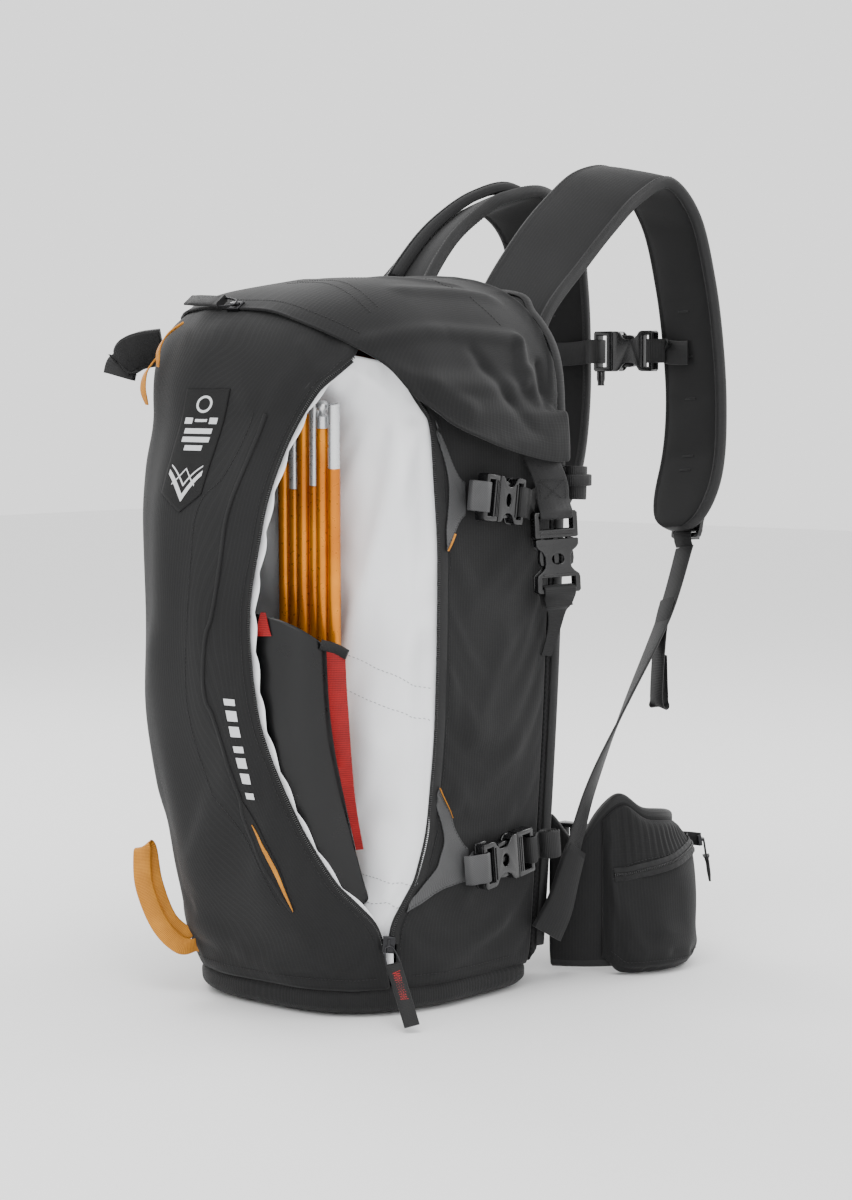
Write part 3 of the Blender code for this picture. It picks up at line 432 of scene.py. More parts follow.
def right_place(s, t):
    """Right panel: s from the zip to the back, t up it."""
    rise = -0.002 + 1.136 * t
    turn = (right_zip(rise) + 2.0) * (1 - s) ** 1.6 - 0.02
    point = bag(turn, rise)
    roll = -0.0014 * math.exp(-s * 0.10 / 0.004) - 0.0025 * math.exp(-min(t, 1 - t) * 0.47 / 0.005)
    inner = ease(min(s, 1 - s) * 5) * ease(min(t, 1 - t) * 12)
    lift = roll + inner * (ripple(point, 0.06, 0.0022, 3.0) - 0.0006)
    for fold in ((-2, 0.42, -20, 0.30, 0.008, 0.0035), (-3, 0.30, -16, 0.14, 0.009, 0.0030),
                 (-4, 0.62, -12, 0.42, 0.011, 0.0032), (-3, 0.10, -26, 0.03, 0.007, 0.0040),
                 (-5, 0.05, -30, 0.08, 0.006, -0.0025), (-2, 0.78, -14, 0.66, 0.010, 0.0028),
                 (-14, 0.55, -19, 0.30, 0.010, -0.0020), (-1, 0.20, -10, 0.24, 0.007, -0.0030)):
        lift += crease(point, fold[0:2], fold[2:4], fold[4], fold[5])
    return bag(turn, rise, lift)


def left_place(s, t):
    """Left panel: s from the left seam to the back, t up it."""
    rise = 0.004 + 1.27 * t
    turn = -180 + (180 + LEFT_SEAM - 0.4) * (1 - s) ** 1.6 + 0.02
    point = bag(turn, rise)
    inner = ease(min(s, 1 - s) * 6) * ease(min(t, 1 - t) * 12)
    roll = -0.0016 * math.exp(-min(s, 1 - s) * 0.08 / 0.004)
    return bag(turn, rise, roll + inner * ripple(point, 0.05, 0.0045, 7.0))


right_panel = cloth_sheet("right_side_cloth", right_place, 44, 88, shell_cloth)
settle(right_panel, 0.006, 0.0018)
finish_cloth(right_panel, CLOTH_THICKNESS, node="right_side_panel")
left_panel = cloth_sheet("left_side_cloth", left_place, 30, 80, shell_cloth)
settle(left_panel, 0.010, 0.0032)
finish_cloth(left_panel, CLOTH_THICKNESS, node="left_side_panel")

# ------------------------------------------------------------------ top cover
# The lid, sewn to the back and closed over the bag. On the right its side is left long, folded
# down over the zip's end and drawn tight by a strap, so it hangs in folds over the upper buckle.


def cover_place(s, t):
    """Lid: s round it from the right to the left, t from its hem to the top of the back."""
    wide = 1 - (1 - abs(2 * s - 1)) ** 1.6
    turn = -90 - 89.98 * math.copysign(wide, s - 0.5)
    hem = lid_seam(turn)
    rise = hem + (1.985 - hem) * t ** 1.15
    point = bag(turn, rise)
    over = ease((turn + 52) / 40)
    fall = math.exp(-((rise - hem) / 0.20) ** 2)
    lift = 0.0030 + fall * (0.0010 + 0.0125 * over) - 0.0026 * math.exp(-t * 0.2 / 0.004) * (1 - over)
    lift += ripple(point, 0.055, 0.0028, 11.0) * ease(min(t * 3, (1 - t) * 8))
    for fold in ((-52, 1.17, -34, 1.30, 0.0050, 0.0045), (-34, 1.30, -24, 1.62, 0.0050, 0.0040),
                 (-40, 1.12, -16, 1.02, 0.0060, 0.0040), (-30, 1.10, -7, 1.24, 0.0070, 0.0055),
                 (-24, 1.30, -6, 1.06, 0.0050, -0.0035), (-25, 1.62, -6, 1.28, 0.0060, 0.0060),
                 (-16, 1.72, -3, 1.40, 0.0045, -0.0040), (-12, 1.50, -2, 1.12, 0.0055, 0.0050),
                 (-18, 1.24, -3, 0.96, 0.0050, -0.0030), (-62, 1.40, -50, 1.80, 0.008, 0.0035),
                 (-80, 1.50, -60, 1.72, 0.006, 0.0025), (-122, 1.34, -100, 1.60, 0.012, 0.0030),
                 (-150, 1.32, -140, 1.75, 0.014, 0.0045), (-165, 1.30, -158, 1.70, 0.012, 0.0040)):
        lift += crease(point, fold[0:2], fold[2:4], fold[4], fold[5])
    return bag(turn, rise, max(lift, -0.001))


cover = cloth_sheet("top_cover_cloth", cover_place, 120, 60, shell_cloth)
settle(cover, 0.010, 0.0025)
finish_cloth(cover, 0.0018, node="top_cover")

# ------------------------------------------------------------------ seams of the bag
# Every seam is topstitched with black bonded thread, about three millimetres a stitch. One rule
# sets stitches, and later the teeth of the zips, evenly along a line with their faces up.


def line_rule():
    """The node tree that sets copies of an item evenly along a line."""
    tree = bpy.data.node_groups.new("set_along_a_line", "GeometryNodeTree")
    for label, kind in (("Line", "Geometry"), ("Spacing", "Float"), ("Item", "Object"),
                        ("Finish", "Material")):
        tree.interface.new_socket(label, in_out="INPUT", socket_type="NodeSocket" + kind)
    tree.interface.new_socket("Row", in_out="OUTPUT", socket_type="NodeSocketGeometry")
    source = tree.nodes.new("NodeGroupInput")
    sink = tree.nodes.new("NodeGroupOutput")
    curve = tree.nodes.new("GeometryNodeMeshToCurve")
    points = tree.nodes.new("GeometryNodeCurveToPoints")
    points.mode = "LENGTH"
    item = tree.nodes.new("GeometryNodeObjectInfo")
    up = tree.nodes.new("GeometryNodeInputNamedAttribute")
    up.data_type = "FLOAT_VECTOR"
    up.inputs["Name"].default_value = "up"
    turned = tree.nodes.new("FunctionNodeAxesToRotation")
    turned.primary_axis = "Z"
    turned.secondary_axis = "X"
    scatter = tree.nodes.new("GeometryNodeInstanceOnPoints")
    realize = tree.nodes.new("GeometryNodeRealizeInstances")
    dye = tree.nodes.new("GeometryNodeSetMaterial")
    link = tree.links.new
    link(source.outputs["Line"], curve.inputs[0])
    link(curve.outputs[0], points.inputs["Curve"])
    link(source.outputs["Spacing"], points.inputs["Length"])
    link(source.outputs["Item"], item.inputs[0])
    link(points.outputs["Points"], scatter.inputs["Points"])
    link(item.outputs["Geometry"], scatter.inputs["Instance"])
    link(up.outputs[0], turned.inputs[0])
    link(points.outputs["Tangent"], turned.inputs[1])
    link(turned.outputs[0], scatter.inputs["Rotation"])
    link(scatter.outputs[0], realize.inputs[0])
    link(realize.outputs[0], dye.inputs["Geometry"])
    link(source.outputs["Finish"], dye.inputs["Material"])
    link(dye.outputs[0], sink.inputs[0])
    return tree


set_along = line_rule()


def row_along(name, lines, item, spacing, material, body="pack"):
    """Sets copies of item along lines, each a list of (point, up), as one plain mesh."""
    data = bpy.data.meshes.new(name)
    points = [pair[0] for line in lines for pair in line]
    edges = []
    start = 0
    for line in lines:
        edges += [(start + k, start + k + 1) for k in range(len(line) - 1)]
        start += len(line)
    data.from_pydata(points, edges, [])
    ups = data.attributes.new("up", "FLOAT_VECTOR", "POINT")
    for value, pair in zip(ups.data, (pair for line in lines for pair in line)):
        value.vector = pair[1]
    guide = bpy.data.objects.new(name, data)
    bpy.context.scene.collection.objects.link(guide)
    rule = guide.modifiers.new("row", "NODES")
    rule.node_group = set_along
    for socket in set_along.interface.items_tree:
        if socket.name == "Spacing":
            rule[socket.identifier] = spacing
        if socket.name == "Item":
            rule[socket.identifier] = item
        if socket.name == "Finish":
            rule[socket.identifier] = material
    bpy.context.view_layer.update()
    made = bpy.data.meshes.new_from_object(guide.evaluated_get(bpy.context.evaluated_depsgraph_get()))
    bpy.data.objects.remove(guide)
    row = bpy.data.objects.new(name, made)
    bpy.context.scene.collection.objects.link(row)
    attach(row, body)
    return row


def bead(name, length, width, height, sides=6):
    """A small rounded bar lying along X, the pattern piece for a stitch or a tooth."""
    mesh = bmesh.new()
    bmesh.ops.create_uvsphere(mesh, u_segments=sides, v_segments=4, radius=0.5)
    bmesh.ops.rotate(mesh, verts=mesh.verts[:], matrix=Matrix.Rotation(math.pi / 2, 3, "Y"))
    bmesh.ops.scale(mesh, verts=mesh.verts[:], vec=(length, width, height))
    piece = mesh_object(name, mesh, None)
    piece.hide_render = True
    return piece


stitch = bead("stitch_pattern", 0.0023, 0.0006, 0.0005)
thread_black = plain_shader("black_thread", (0.003, 0.003, 0.0033), 0.6)


def skin_of(piece):
    """A finished piece's surface, to lay other pieces on."""
    return BVHTree.FromObject(piece, bpy.context.evaluated_depsgraph_get())


def laid_on(skin, points, out=0.0003, reach=0.004):
    """(point, up) for each point, laid on a piece's outer face. Points are given a little outside it."""
    result = []
    for point, away in points:
        near, normal, _, _ = skin.find_nearest(point + away * reach)
        if normal.dot(away) < 0:
            normal.negate()
        result.append((near + normal * out, normal))
    return result


def bag_line(route, count=60):
    """(point, outward) along the bag; route gives (turn, rise) at a share of the way."""
    line = []
    for k in range(count + 1):
        turn, rise = route(k / count)
        point = bag(turn, rise)
        line.append((point, (bag(turn, rise, 0.01) - point).normalized()))
    return line


bpy.context.view_layer.update()
front_skin = skin_of(front_panel)
right_skin = skin_of(right_panel)
cover_skin = skin_of(cover)
STITCH_PITCH = 0.0030
seam_lines = [
    laid_on(front_skin, bag_line(lambda s: (left_zip(0.10 + 1.02 * s) - 2.0, 0.10 + 1.02 * s))),
    laid_on(front_skin, bag_line(lambda s: (LEFT_SEAM + 1.2, 0.03 + 1.15 * s))),
    laid_on(front_skin, bag_line(lambda s: (-48 - 94 * s, 0.022))),
    laid_on(right_skin, bag_line(lambda s: (right_zip(0.06 + 1.0 * s) + 3.4, 0.06 + 1.0 * s))),
    laid_on(right_skin, bag_line(lambda s: (-3 - 30 * s, 0.022))),
    laid_on(cover_skin, bag_line(lambda s: (-44 - 134 * s, lid_seam(-44 - 134 * s) + 0.035))),
    laid_on(cover_skin, bag_line(lambda s: (-42 + 40 * s, lid_seam(-42 + 40 * s) + 0.05))),
    laid_on(cover_skin, bag_line(lambda s: (-92 + 36 * s, 1.405 - 0.143 * s))),
    laid_on(cover_skin, bag_line(lambda s: (-92 + 36 * s, 1.435 - 0.148 * s))),
    laid_on(cover_skin, bag_line(lambda s: (-100 + 90 * s, 1.62 - 0.22 * s * s + 0.10 * s))),
]
row_along("bag_topstitching", seam_lines, stitch, STITCH_PITCH, thread_black)

# ------------------------------------------------------------------ main zip
# A coil zip sewn to both edges of the opening: woven tape, moulded coil, a metal slider parked at
# the bottom with a bent wire and a webbing tab, and on the left the lining's white edge beside it.


def smooth_route(points, count):
    """count points on a smooth curve through the given ones."""
    stops = [Vector(point) for point in points]
    result = []
    for k in range(count):
        s = k / (count - 1) * (len(stops) - 1)
        i = min(int(s), len(stops) - 2)
        t = s - i
        a = stops[max(i - 1, 0)]
        b = stops[i]
        c = stops[i + 1]
        d = stops[min(i + 2, len(stops) - 1)]
        near = b * (2 * t ** 3 - 3 * t * t + 1) + (c - a) / 2 * (t ** 3 - 2 * t * t + t)
        result.append(near + c * (3 * t * t - 2 * t ** 3) + (d - b) / 2 * (t ** 3 - t * t))
    return result


def ribbon_section(width, thickness):
    """A flat strip's section with softly rounded edges."""
    half = width / 2
    rise = thickness / 2
    soft = min(rise, 0.0006)
    return [(-half + soft, -rise), (0, -rise), (half - soft, -rise), (half, -rise + soft),
            (half, rise - soft),
            (half - soft, rise), (0, rise), (-half + soft, rise), (-half, rise - soft), (-half, -rise + soft)]


def swept(name, path, sides, section, material, taper=None, shape=None):
    """A closed section swept along a path. Its UV map runs across and along, in metres."""
    mesh = bmesh.new()
    cloth = mesh.loops.layers.uv.new("cloth")
    rings = []
    lengths = [0.0]
    for k, point in enumerate(path):
        ahead = path[min(k + 1, len(path) - 1)]
        behind = path[max(k - 1, 0)]
        tangent = (ahead - behind).normalized()
        side = sides[k] - tangent * sides[k].dot(tangent)
        side.normalize()
        up = side.cross(tangent)
        scale = taper(k / (len(path) - 1)) if taper else 1.0
        ring = [point + side * (a * scale) + up * b for a, b in section]
        if shape:
            ring = [shape(spot, k / (len(path) - 1), a, b, side, up) for spot, (a, b) in zip(ring, section)]
        rings.append([mesh.verts.new(spot) for spot in ring])
        if k:
            lengths.append(lengths[-1] + (point - path[k - 1]).length)
    count = len(section)
    around = [0.0]
    for i in range(count):
        step = Vector(section[(i + 1) % count]) - Vector(section[i])
        around.append(around[-1] + step.length)
    for k in range(len(rings) - 1):
        for i in range(count):
            j = (i + 1) % count
            face = mesh.faces.new((rings[k][i], rings[k][j], rings[k + 1][j], rings[k + 1][i]))
            for loop, (a, b) in zip(face.loops, ((i, k), (i + 1, k), (i + 1, k + 1), (i, k + 1))):
                loop[cloth].uv = (around[a], lengths[b])
    for ring in (rings[0], rings[-1]):
        mesh.faces.new(ring)
    bmesh.ops.recalc_face_normals(mesh, faces=mesh.faces[:])
    piece = mesh_object(name, mesh, material)
    piece.data.set_sharp_from_angle(angle=math.radians(50))
    return piece


def strip(name, points, sides, width, thickness, material, count=40, body="pack",
          node=None, taper=None, shape=None):
    """A flat strap or tape along a route; sides gives its width direction, once or at each point."""
    path = smooth_route(points, count)
    if isinstance(sides, list):
        sides = smooth_route(sides, count)
    else:
        sides = [Vector(sides)] * count
    piece = swept(name, path, sides, ribbon_section(width, thickness), material, taper, shape)
    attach(piece, body)
    if node:
        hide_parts(*([node] if isinstance(node, str) else node))
    return piece


def webbing_finish(name, dark, light, pitch=0.0013, roughness=0.62, twill=False):
    """Woven webbing: picks across the strap, a lengthways grain and slightly worn, paler ridges."""
    material = plain_shader(name, light, roughness, sheen=0.05, specular=0.35)
    n = Nodes(material)
    u, v = n.cloth()
    if twill:
        slant = n.math("ABSOLUTE", n.math("SUBTRACT", n.math("PINGPONG", u, 0.0032), 0.0016))
        picks = n.wave(n.math("ADD", v, n.math("MULTIPLY", slant, 2.0)), pitch)
    else:
        picks = n.wave(v, pitch)
    grain = n.wave(u, 0.0011)
    height = n.math("MULTIPLY_ADD", n.math("POWER", picks, 0.8), 0.75, n.math("MULTIPLY", grain, 0.25))
    worn = n.span(n.noise(n.place(), 60.0, 3.0), 0.45, 0.75, 0.0, 0.35)
    n.colour(n.mix(n.math("MULTIPLY_ADD", height, 0.8, worn), dark, light))
    n.bump(height, 0.00022)
    return material


tape_black = webbing_finish("zip_tape", (0.002, 0.002, 0.0022), (0.0075, 0.0075, 0.008), 0.0009)
coil_black = plain_shader("zip_coil", (0.0025, 0.0025, 0.0028), 0.22, specular=0.7)
satin_white = plain_shader("white_satin", (0.80, 0.81, 0.83), 0.42, sheen=0.15)


def zip_edge(line, shift, depth, low=0.085, high=1.135, count=90):
    """(point, outward, across) along one edge of the opening, shift degrees into the bag's cloth."""
    result = []
    for k in range(count + 1):
        rise = low + (high - low) * k / count
        turn = line(rise) + shift * (1.0 if line is right_zip else -1.0)
        point = bag(turn, rise, -depth)
        outward = (bag(turn, rise, 0.01) - bag(turn, rise)).normalized()
        across = (bag(turn + 0.5, rise) - bag(turn - 0.5, rise)).normalized()
        result.append((point, outward, across))
    return result


for side_name, line, wide in (("left", left_zip, 1.4), ("right", right_zip, 1.0)):
    edge = zip_edge(line, wide, 0.0016)
    strip(side_name + "_zip_tape", [item[0] for item in edge[::3]], [item[2] for item in edge[::3]], 0.0105,
          0.0010, tape_black, 150)
TOOTH_PITCH = 0.0015
tooth = bead("tooth_pattern", 0.0011, 0.0030, 0.0019, 8)
teeth = [[(point + outward * 0.0008, outward) for point, outward, across in zip_edge(line, -0.2, 0.0016)]
         for line in (left_zip, right_zip)]
row_along("zip_coil", teeth, tooth, TOOTH_PITCH, coil_black)


def scallop(spot, share, a, b, side, up):
    """Lets the lining's sewn edge bulge between stitches."""
    return spot + side * (0.0022 * abs(math.sin(share * 46)) if a > 0 else 0) + up * (0.0006 *
                                                                                      math.sin(share * 92))


edge = zip_edge(left_zip, -0.35, 0.0050, 0.12, 1.12)
strip("lining_edge", [item[0] for item in edge[::3]], [item[2] for item in edge[::3]], 0.0046, 0.0010,
      satin_white,
      260, shape=scallop)

# ------------------------------------------------------------------ tool compartment lining
# White coated satin, sewn in behind the zip and hanging slack behind the shovel and the probe. Two
# stitched bands cross it where the pockets behind are sewn on.
LINING_DIP = [(0.0, 0.050), (0.15, 0.066), (0.55, 0.072), (0.85, 0.060), (1.15, 0.052)]


def lining_place(s, t):
    """Lining: s from the right zip, behind the opening, to the left side, t up it."""
    rise = 0.03 + 1.115 * t
    turn = right_zip(rise) + 0.8 + (-158 - right_zip(rise) - 0.8) * s
    share = min(s / 0.36, (1 - s) / 0.25, 1.0)
    depth = 0.0035 + between(LINING_DIP, rise) * share * share * (3 - 2 * share)
    depth = max(depth * (1 - ease((rise - 1.055) / 0.07)), 0.0085 if share > 0.05 else 0.0035)
    point = bag(turn, rise, -depth)
    inner = ease(share * 2.5) * ease(min(t, 1 - t) * 8)
    puff = ripple(point, 0.05, 0.006, 21.0) + ripple(point, 0.022, 0.0020, 23.0)
    for fold in ((-24, 1.00, -46, 0.72, 0.008, 0.0070), (-30, 0.55, -60, 0.36, 0.007, 0.0065),
                 (-34, 0.40, -52, 0.18, 0.006, 0.0065), (-28, 0.78, -40, 0.62, 0.006, -0.0055),
                 (-36, 0.16, -48, 0.30, 0.006, 0.0070), (-44, 1.04, -40, 0.82, 0.009, -0.0060),
                 (-23, 0.86, -34, 0.92, 0.005, 0.0050), (-22, 0.66, -38, 0.50, 0.005, 0.0050),
                 (-24, 0.34, -40, 0.46, 0.006, -0.0050), (-27, 0.24, -38, 0.14, 0.005, 0.0050),
                 (-24, 0.44, -31, 0.30, 0.004, 0.0040), (-32, 0.98, -30, 0.70, 0.006, 0.0045)):
        puff += crease(point, fold[0:2], fold[2:4], fold[4] + 0.02 * share, fold[5])
    return bag(turn, rise, -depth + puff * inner)


satin = plain_shader("lining_satin", (0.86, 0.87, 0.89), 0.34, sheen=0.1)
n = Nodes(satin)
u, v = n.cloth()
n.bump(n.math("MULTIPLY_ADD", n.wave(n.math("ADD", u, v), 0.0011), 0.4,
              n.noise(n.place(), 55.0, 4.0)), 0.0010, 0.35)
lining = cloth_sheet("lining_satin_cloth", lining_place, 70, 80, satin)
settle(lining, 0.022, 0.0055, frames=16)
finish_cloth(lining, 0.0008, node="tool_lining")
bpy.context.view_layer.update()
lining_skin = skin_of(lining)


def lining_line(route, count=50):
    """(point, outward) on the lining; route gives a place on the bag, which is set back to it."""
    line = []
    for k in range(count + 1):
        turn, rise = route(k / count)
        whole = -158 - right_zip(rise) - 0.8
        point = lining_place((turn - right_zip(rise) - 0.8) / whole, (rise - 0.03) / 1.115)
        line.append((point, (bag(turn, rise, 0.01) - bag(turn, rise)).normalized()))
    return line


thread_grey = plain_shader("grey_thread", (0.30, 0.31, 0.33), 0.6)
bands = [laid_on(lining_skin, lining_line(lambda s, a=a, b=b: (-24 - 46 * s, a + b * s)), 0.0002, 0.008)
         for a, b in ((0.53, 0.10), (0.475, 0.085), (0.185, 0.03), (0.145, 0.03))]
row_along("lining_stitches", bands, stitch, 0.0034, thread_grey)

# ------------------------------------------------------------------ shovel blade and its sleeve
# A dished aluminium blade, black anodised, standing behind the front panel. The red edge of the
# sleeve that holds it shows beside it, bound in black at its mouth.
BLADE_EDGE = [(0.13, -44), (0.30, -50), (0.45, -53), (0.64, -56)]


def blade_place(s, t):
    """Shovel blade: s from its free edge to the left, t up it, dished and with a shallow rib."""
    low = 0.13 + 0.03 * (2 * s - 1) ** 4
    high = 0.665 - 0.07 * abs(2 * s - 1) ** 2.5
    rise = low + (high - low) * t
    turn = between(BLADE_EDGE, rise) + (-132 - between(BLADE_EDGE, rise)) * s
    inset = 0.013 + between([(0.13, 0.008), (0.45, 0.018)], rise) * (2 * s - 1) ** 2
    rib = 0.0016 * math.exp(-((s - 0.30) / 0.035) ** 2) * ease(t * 3) * ease((0.8 - t) * 3)
    return bag(turn, rise, -inset - 0.0004 + rib)


anodised = plain_shader("black_anodised", (0.0045, 0.0046, 0.005), 0.27, metallic=0.0, specular=0.34)
n = Nodes(anodised)
n.roughness(n.span(n.noise(n.place(), 40.0, 5.0, 0.65), 0.3, 0.7, 0.24, 0.40))
n.bump(n.noise(n.place(), 350.0, 2.0), 0.0001, 0.25)
blade = cloth_sheet("shovel_blade_plate", blade_place, 60, 44, anodised)
finish_cloth(blade, CLOTH_THICKNESS, body="shovel", node="shovel_blade")
red_rib = webbing_finish("red_gusset", (0.12, 0.0004, 0.0008), (0.31, 0.0008, 0.0018), 0.0016)
sleeve_path = [bag(between(BLADE_EDGE, rise) + 2.2, rise, -0.0225) for rise in (0.25, 0.34, 0.43, 0.52, 0.60)]
strip("red_sleeve_edge", sleeve_path, (0.88, 0.47, 0), 0.0130, 0.0012, red_rib, 60,
      node="shovel_sleeve", taper=lambda s: 0.45 + 0.6 * ease(s * 1.4))
binding = webbing_finish("black_binding", (0.0025, 0.0025, 0.0027), (0.0075, 0.0075, 0.008), 0.0011)
mouth = [sleeve_path[-1] + Vector(step) for step in ((-0.009, -0.006, 0.004), (0, 0, 0.001),
                                                     (0.008, 0.003, -0.003))]
strip("sleeve_binding", mouth, (0.15, -0.1, 1), 0.0075, 0.0026, binding, 16)
edge = [bag(left_zip(rise) + 2.5, rise, -0.012) for rise in (0.625, 0.645, 0.665)]
strip("sleeve_corner", edge, (0.8, 0.5, 0), 0.012, 0.0012, red_rib, 12,
      taper=lambda s: 1 - 0.7 * s)

# ------------------------------------------------------------------ probe
# Six aluminium tubes, anodised amber and joined by a cord inside, folded into one bundle. Some show
# the bare ferrule that plugs into the next tube, one the rounded probing tip.
PROBE_LEAN = Vector((0.027, -0.032, 0.348))
PROBE_FOOT = Vector((0.026 - 0.027, -0.106 + 0.032, 0.100))
PROBE_SPACING = 0.0095
PROBE_RADIUS = 0.0046


def place_at(origin, forward, outward):
    """A frame with X along forward and Z near outward."""
    x = Vector(forward).normalized()
    z = Vector(outward) - x * Vector(outward).dot(x)
    z.normalize()
    y = z.cross(x)
    return Matrix.Translation(origin) @ Matrix((x, y, z)).transposed().to_4x4()


def turned_part(name, stations, place, material, sides=24, sharp=35):
    """A solid turned about its local X from (radius, x) stations."""
    mesh = bmesh.new()
    rings = []
    for radius, x in stations:
        if radius <= 0:
            rings.append([mesh.verts.new((x, 0, 0))])
            continue
        steps = [2 * math.pi * k / sides for k in range(sides)]
        rings.append([mesh.verts.new((x, radius * math.cos(a), radius * math.sin(a))) for a in steps])
    for low, high in zip(rings, rings[1:]):
        for i in range(sides):
            j = (i + 1) % sides
            corners = [low[i % len(low)], low[j % len(low)], high[j % len(high)], high[i % len(high)]]
            mesh.faces.new(list(dict.fromkeys(corners)))
    for ring in (rings[0], rings[-1]):
        if len(ring) > 1:
            mesh.faces.new(ring)
    mesh.transform(place)
    bmesh.ops.recalc_face_normals(mesh, faces=mesh.faces[:])
    piece = mesh_object(name, mesh, material)
    piece.data.set_sharp_from_angle(angle=math.radians(sharp))
    return piece


def joined(name, pieces):
    """Several finished meshes as one piece."""
    for piece in pieces:
        piece.select_set(True)
    bpy.context.view_layer.objects.active = pieces[0]
    with bpy.context.temp_override(active_object=pieces[0], selected_editable_objects=pieces,
                                   selected_objects=pieces):
        bpy.ops.object.join()
    pieces[0].name = name
    pieces[0].select_set(False)
    return pieces[0]


amber = plain_shader("amber_anodised", (0.80, 0.29, 0.008), 0.30, metallic=0.62)
n = Nodes(amber)
n.colour(n.mix(n.span(n.noise(n.place(), 26.0, 3.0), 0.35, 0.7, 0.0, 1.0), (0.55, 0.155, 0.002),
               (0.78, 0.27, 0.006)))
n.roughness(n.span(n.noise(n.place(), 300.0, 2.0), 0.3, 0.7, 0.26, 0.38))
bare_metal = plain_shader("bare_aluminium", (0.70, 0.71, 0.72), 0.28, metallic=0.75)
n = Nodes(bare_metal)
n.roughness(n.span(n.noise(n.place(), 500.0, 3.0), 0.3, 0.7, 0.24, 0.38))
lean = PROBE_LEAN.normalized()
beside = place_at(PROBE_FOOT, lean, (0, -1, 0)).col[1].to_3d() * -1
tubes = []
for k, (top, ferrule, set_back) in enumerate(((0.400, 0, 0.0), (0.418, 0.036, 0.0006), (0.436, 0, -0.0006),
                                              (0.446, 0.060, 0.0012), (0.448, -1, -0.0012),
                                              (0.446, 0.046, 0.0))):
    place = place_at(PROBE_FOOT + beside * (k * PROBE_SPACING) + Vector((0, set_back, 0)), lean, (0, -1, 0))
    reach = (top - 0.100) * PROBE_LEAN.length / PROBE_LEAN.z
    r = PROBE_RADIUS
    sleeve = reach - max(ferrule, 0.020 if ferrule else 0)
    tubes.append(turned_part("tube", [(r * 0.8, 0.0), (r, 0.001), (r, sleeve - 0.0005), (r - 0.0004, sleeve),
                                      (r - 0.0010, sleeve), (r - 0.0010, sleeve - 0.001)], place, amber))
    if ferrule > 0:
        f = r - 0.0003
        tubes.append(turned_part("ferrule", [(f, sleeve + 0.0001), (f, reach - 0.0006), (f - 0.0005, reach),
                                             (f - 0.0014, reach), (f - 0.0014, reach - 0.004)], place,
                                 bare_metal))
    elif ferrule < 0:
        f = r - 0.0002
        ball = [(0.0044 * math.sin(math.radians(a)), reach - 0.0045 - 0.0045 * math.cos(math.radians(a)))
                for a in range(30, 180, 15)]
        tubes.append(turned_part("tip", [(f, sleeve), (f, sleeve + 0.0085),
                                         (f - 0.0016, sleeve + 0.0100)] + ball +
                                 [(0.0, reach)], place, bare_metal))
    elif not ferrule:
        tubes.append(turned_part("rim", [(r - 0.0002, reach), (r - 0.0002, reach + 0.0004),
                                         (r - 0.0012, reach + 0.0004),
                                         (r - 0.0012, reach - 0.002)], place, amber))
probe = joined("folded_probe", tubes)
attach(probe, "probe")
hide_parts("probe_pole")

# ------------------------------------------------------------------ zip sliders and pullers
# Die-cast sliders blackened, each with a bent wire bail and a folded webbing tab. The main zip's
# tab is barred with a red zigzag.
dark_metal = plain_shader("blackened_metal", (0.030, 0.030, 0.032), 0.28, metallic=0.9)
red_thread = plain_shader("red_thread", (0.45, 0.004, 0.006), 0.55)
zigzag_bead = bead("zigzag_pattern", 0.0017, 0.0005, 0.0005)


def wire(name, points, radius, material, closed=True):
    """A bent wire as a mesh, its line resampled from a few points."""
    curve = bpy.data.curves.new(name, "CURVE")
    curve.dimensions = "3D"
    curve.bevel_depth = radius
    curve.bevel_resolution = 3
    curve.use_fill_caps = True
    spline = curve.splines.new("POLY")
    path = smooth_route(points + points[:1] if closed else points, 48)
    if closed:
        path = path[:-1]
    spline.points.add(len(path) - 1)
    for slot, point in zip(spline.points, path):
        slot.co = (*point, 1)
    spline.use_cyclic_u = closed
    curve.materials.append(material)
    scratch = bpy.data.objects.new(name, curve)
    bpy.context.scene.collection.objects.link(scratch)
    bpy.context.view_layer.update()
    made = bpy.data.meshes.new_from_object(scratch.evaluated_get(bpy.context.evaluated_depsgraph_get()))
    bpy.data.objects.remove(scratch)
    made.shade_smooth()
    piece = bpy.data.objects.new(name, made)
    bpy.context.scene.collection.objects.link(piece)
    return piece


def rounded_block(name, low, high, place, material, soft=0.0008, segments=3):
    """A moulded block with rounded edges."""
    mesh = bmesh.new()
    bmesh.ops.create_cube(mesh, size=1.0)
    for vert in mesh.verts:
        for axis in range(3):
            vert.co[axis] = low[axis] if vert.co[axis] < 0 else high[axis]
    bmesh.ops.bevel(mesh, geom=mesh.edges[:], offset=soft, segments=segments, affect="EDGES", profile=0.6)
    mesh.transform(place)
    return mesh_object(name, mesh, material)


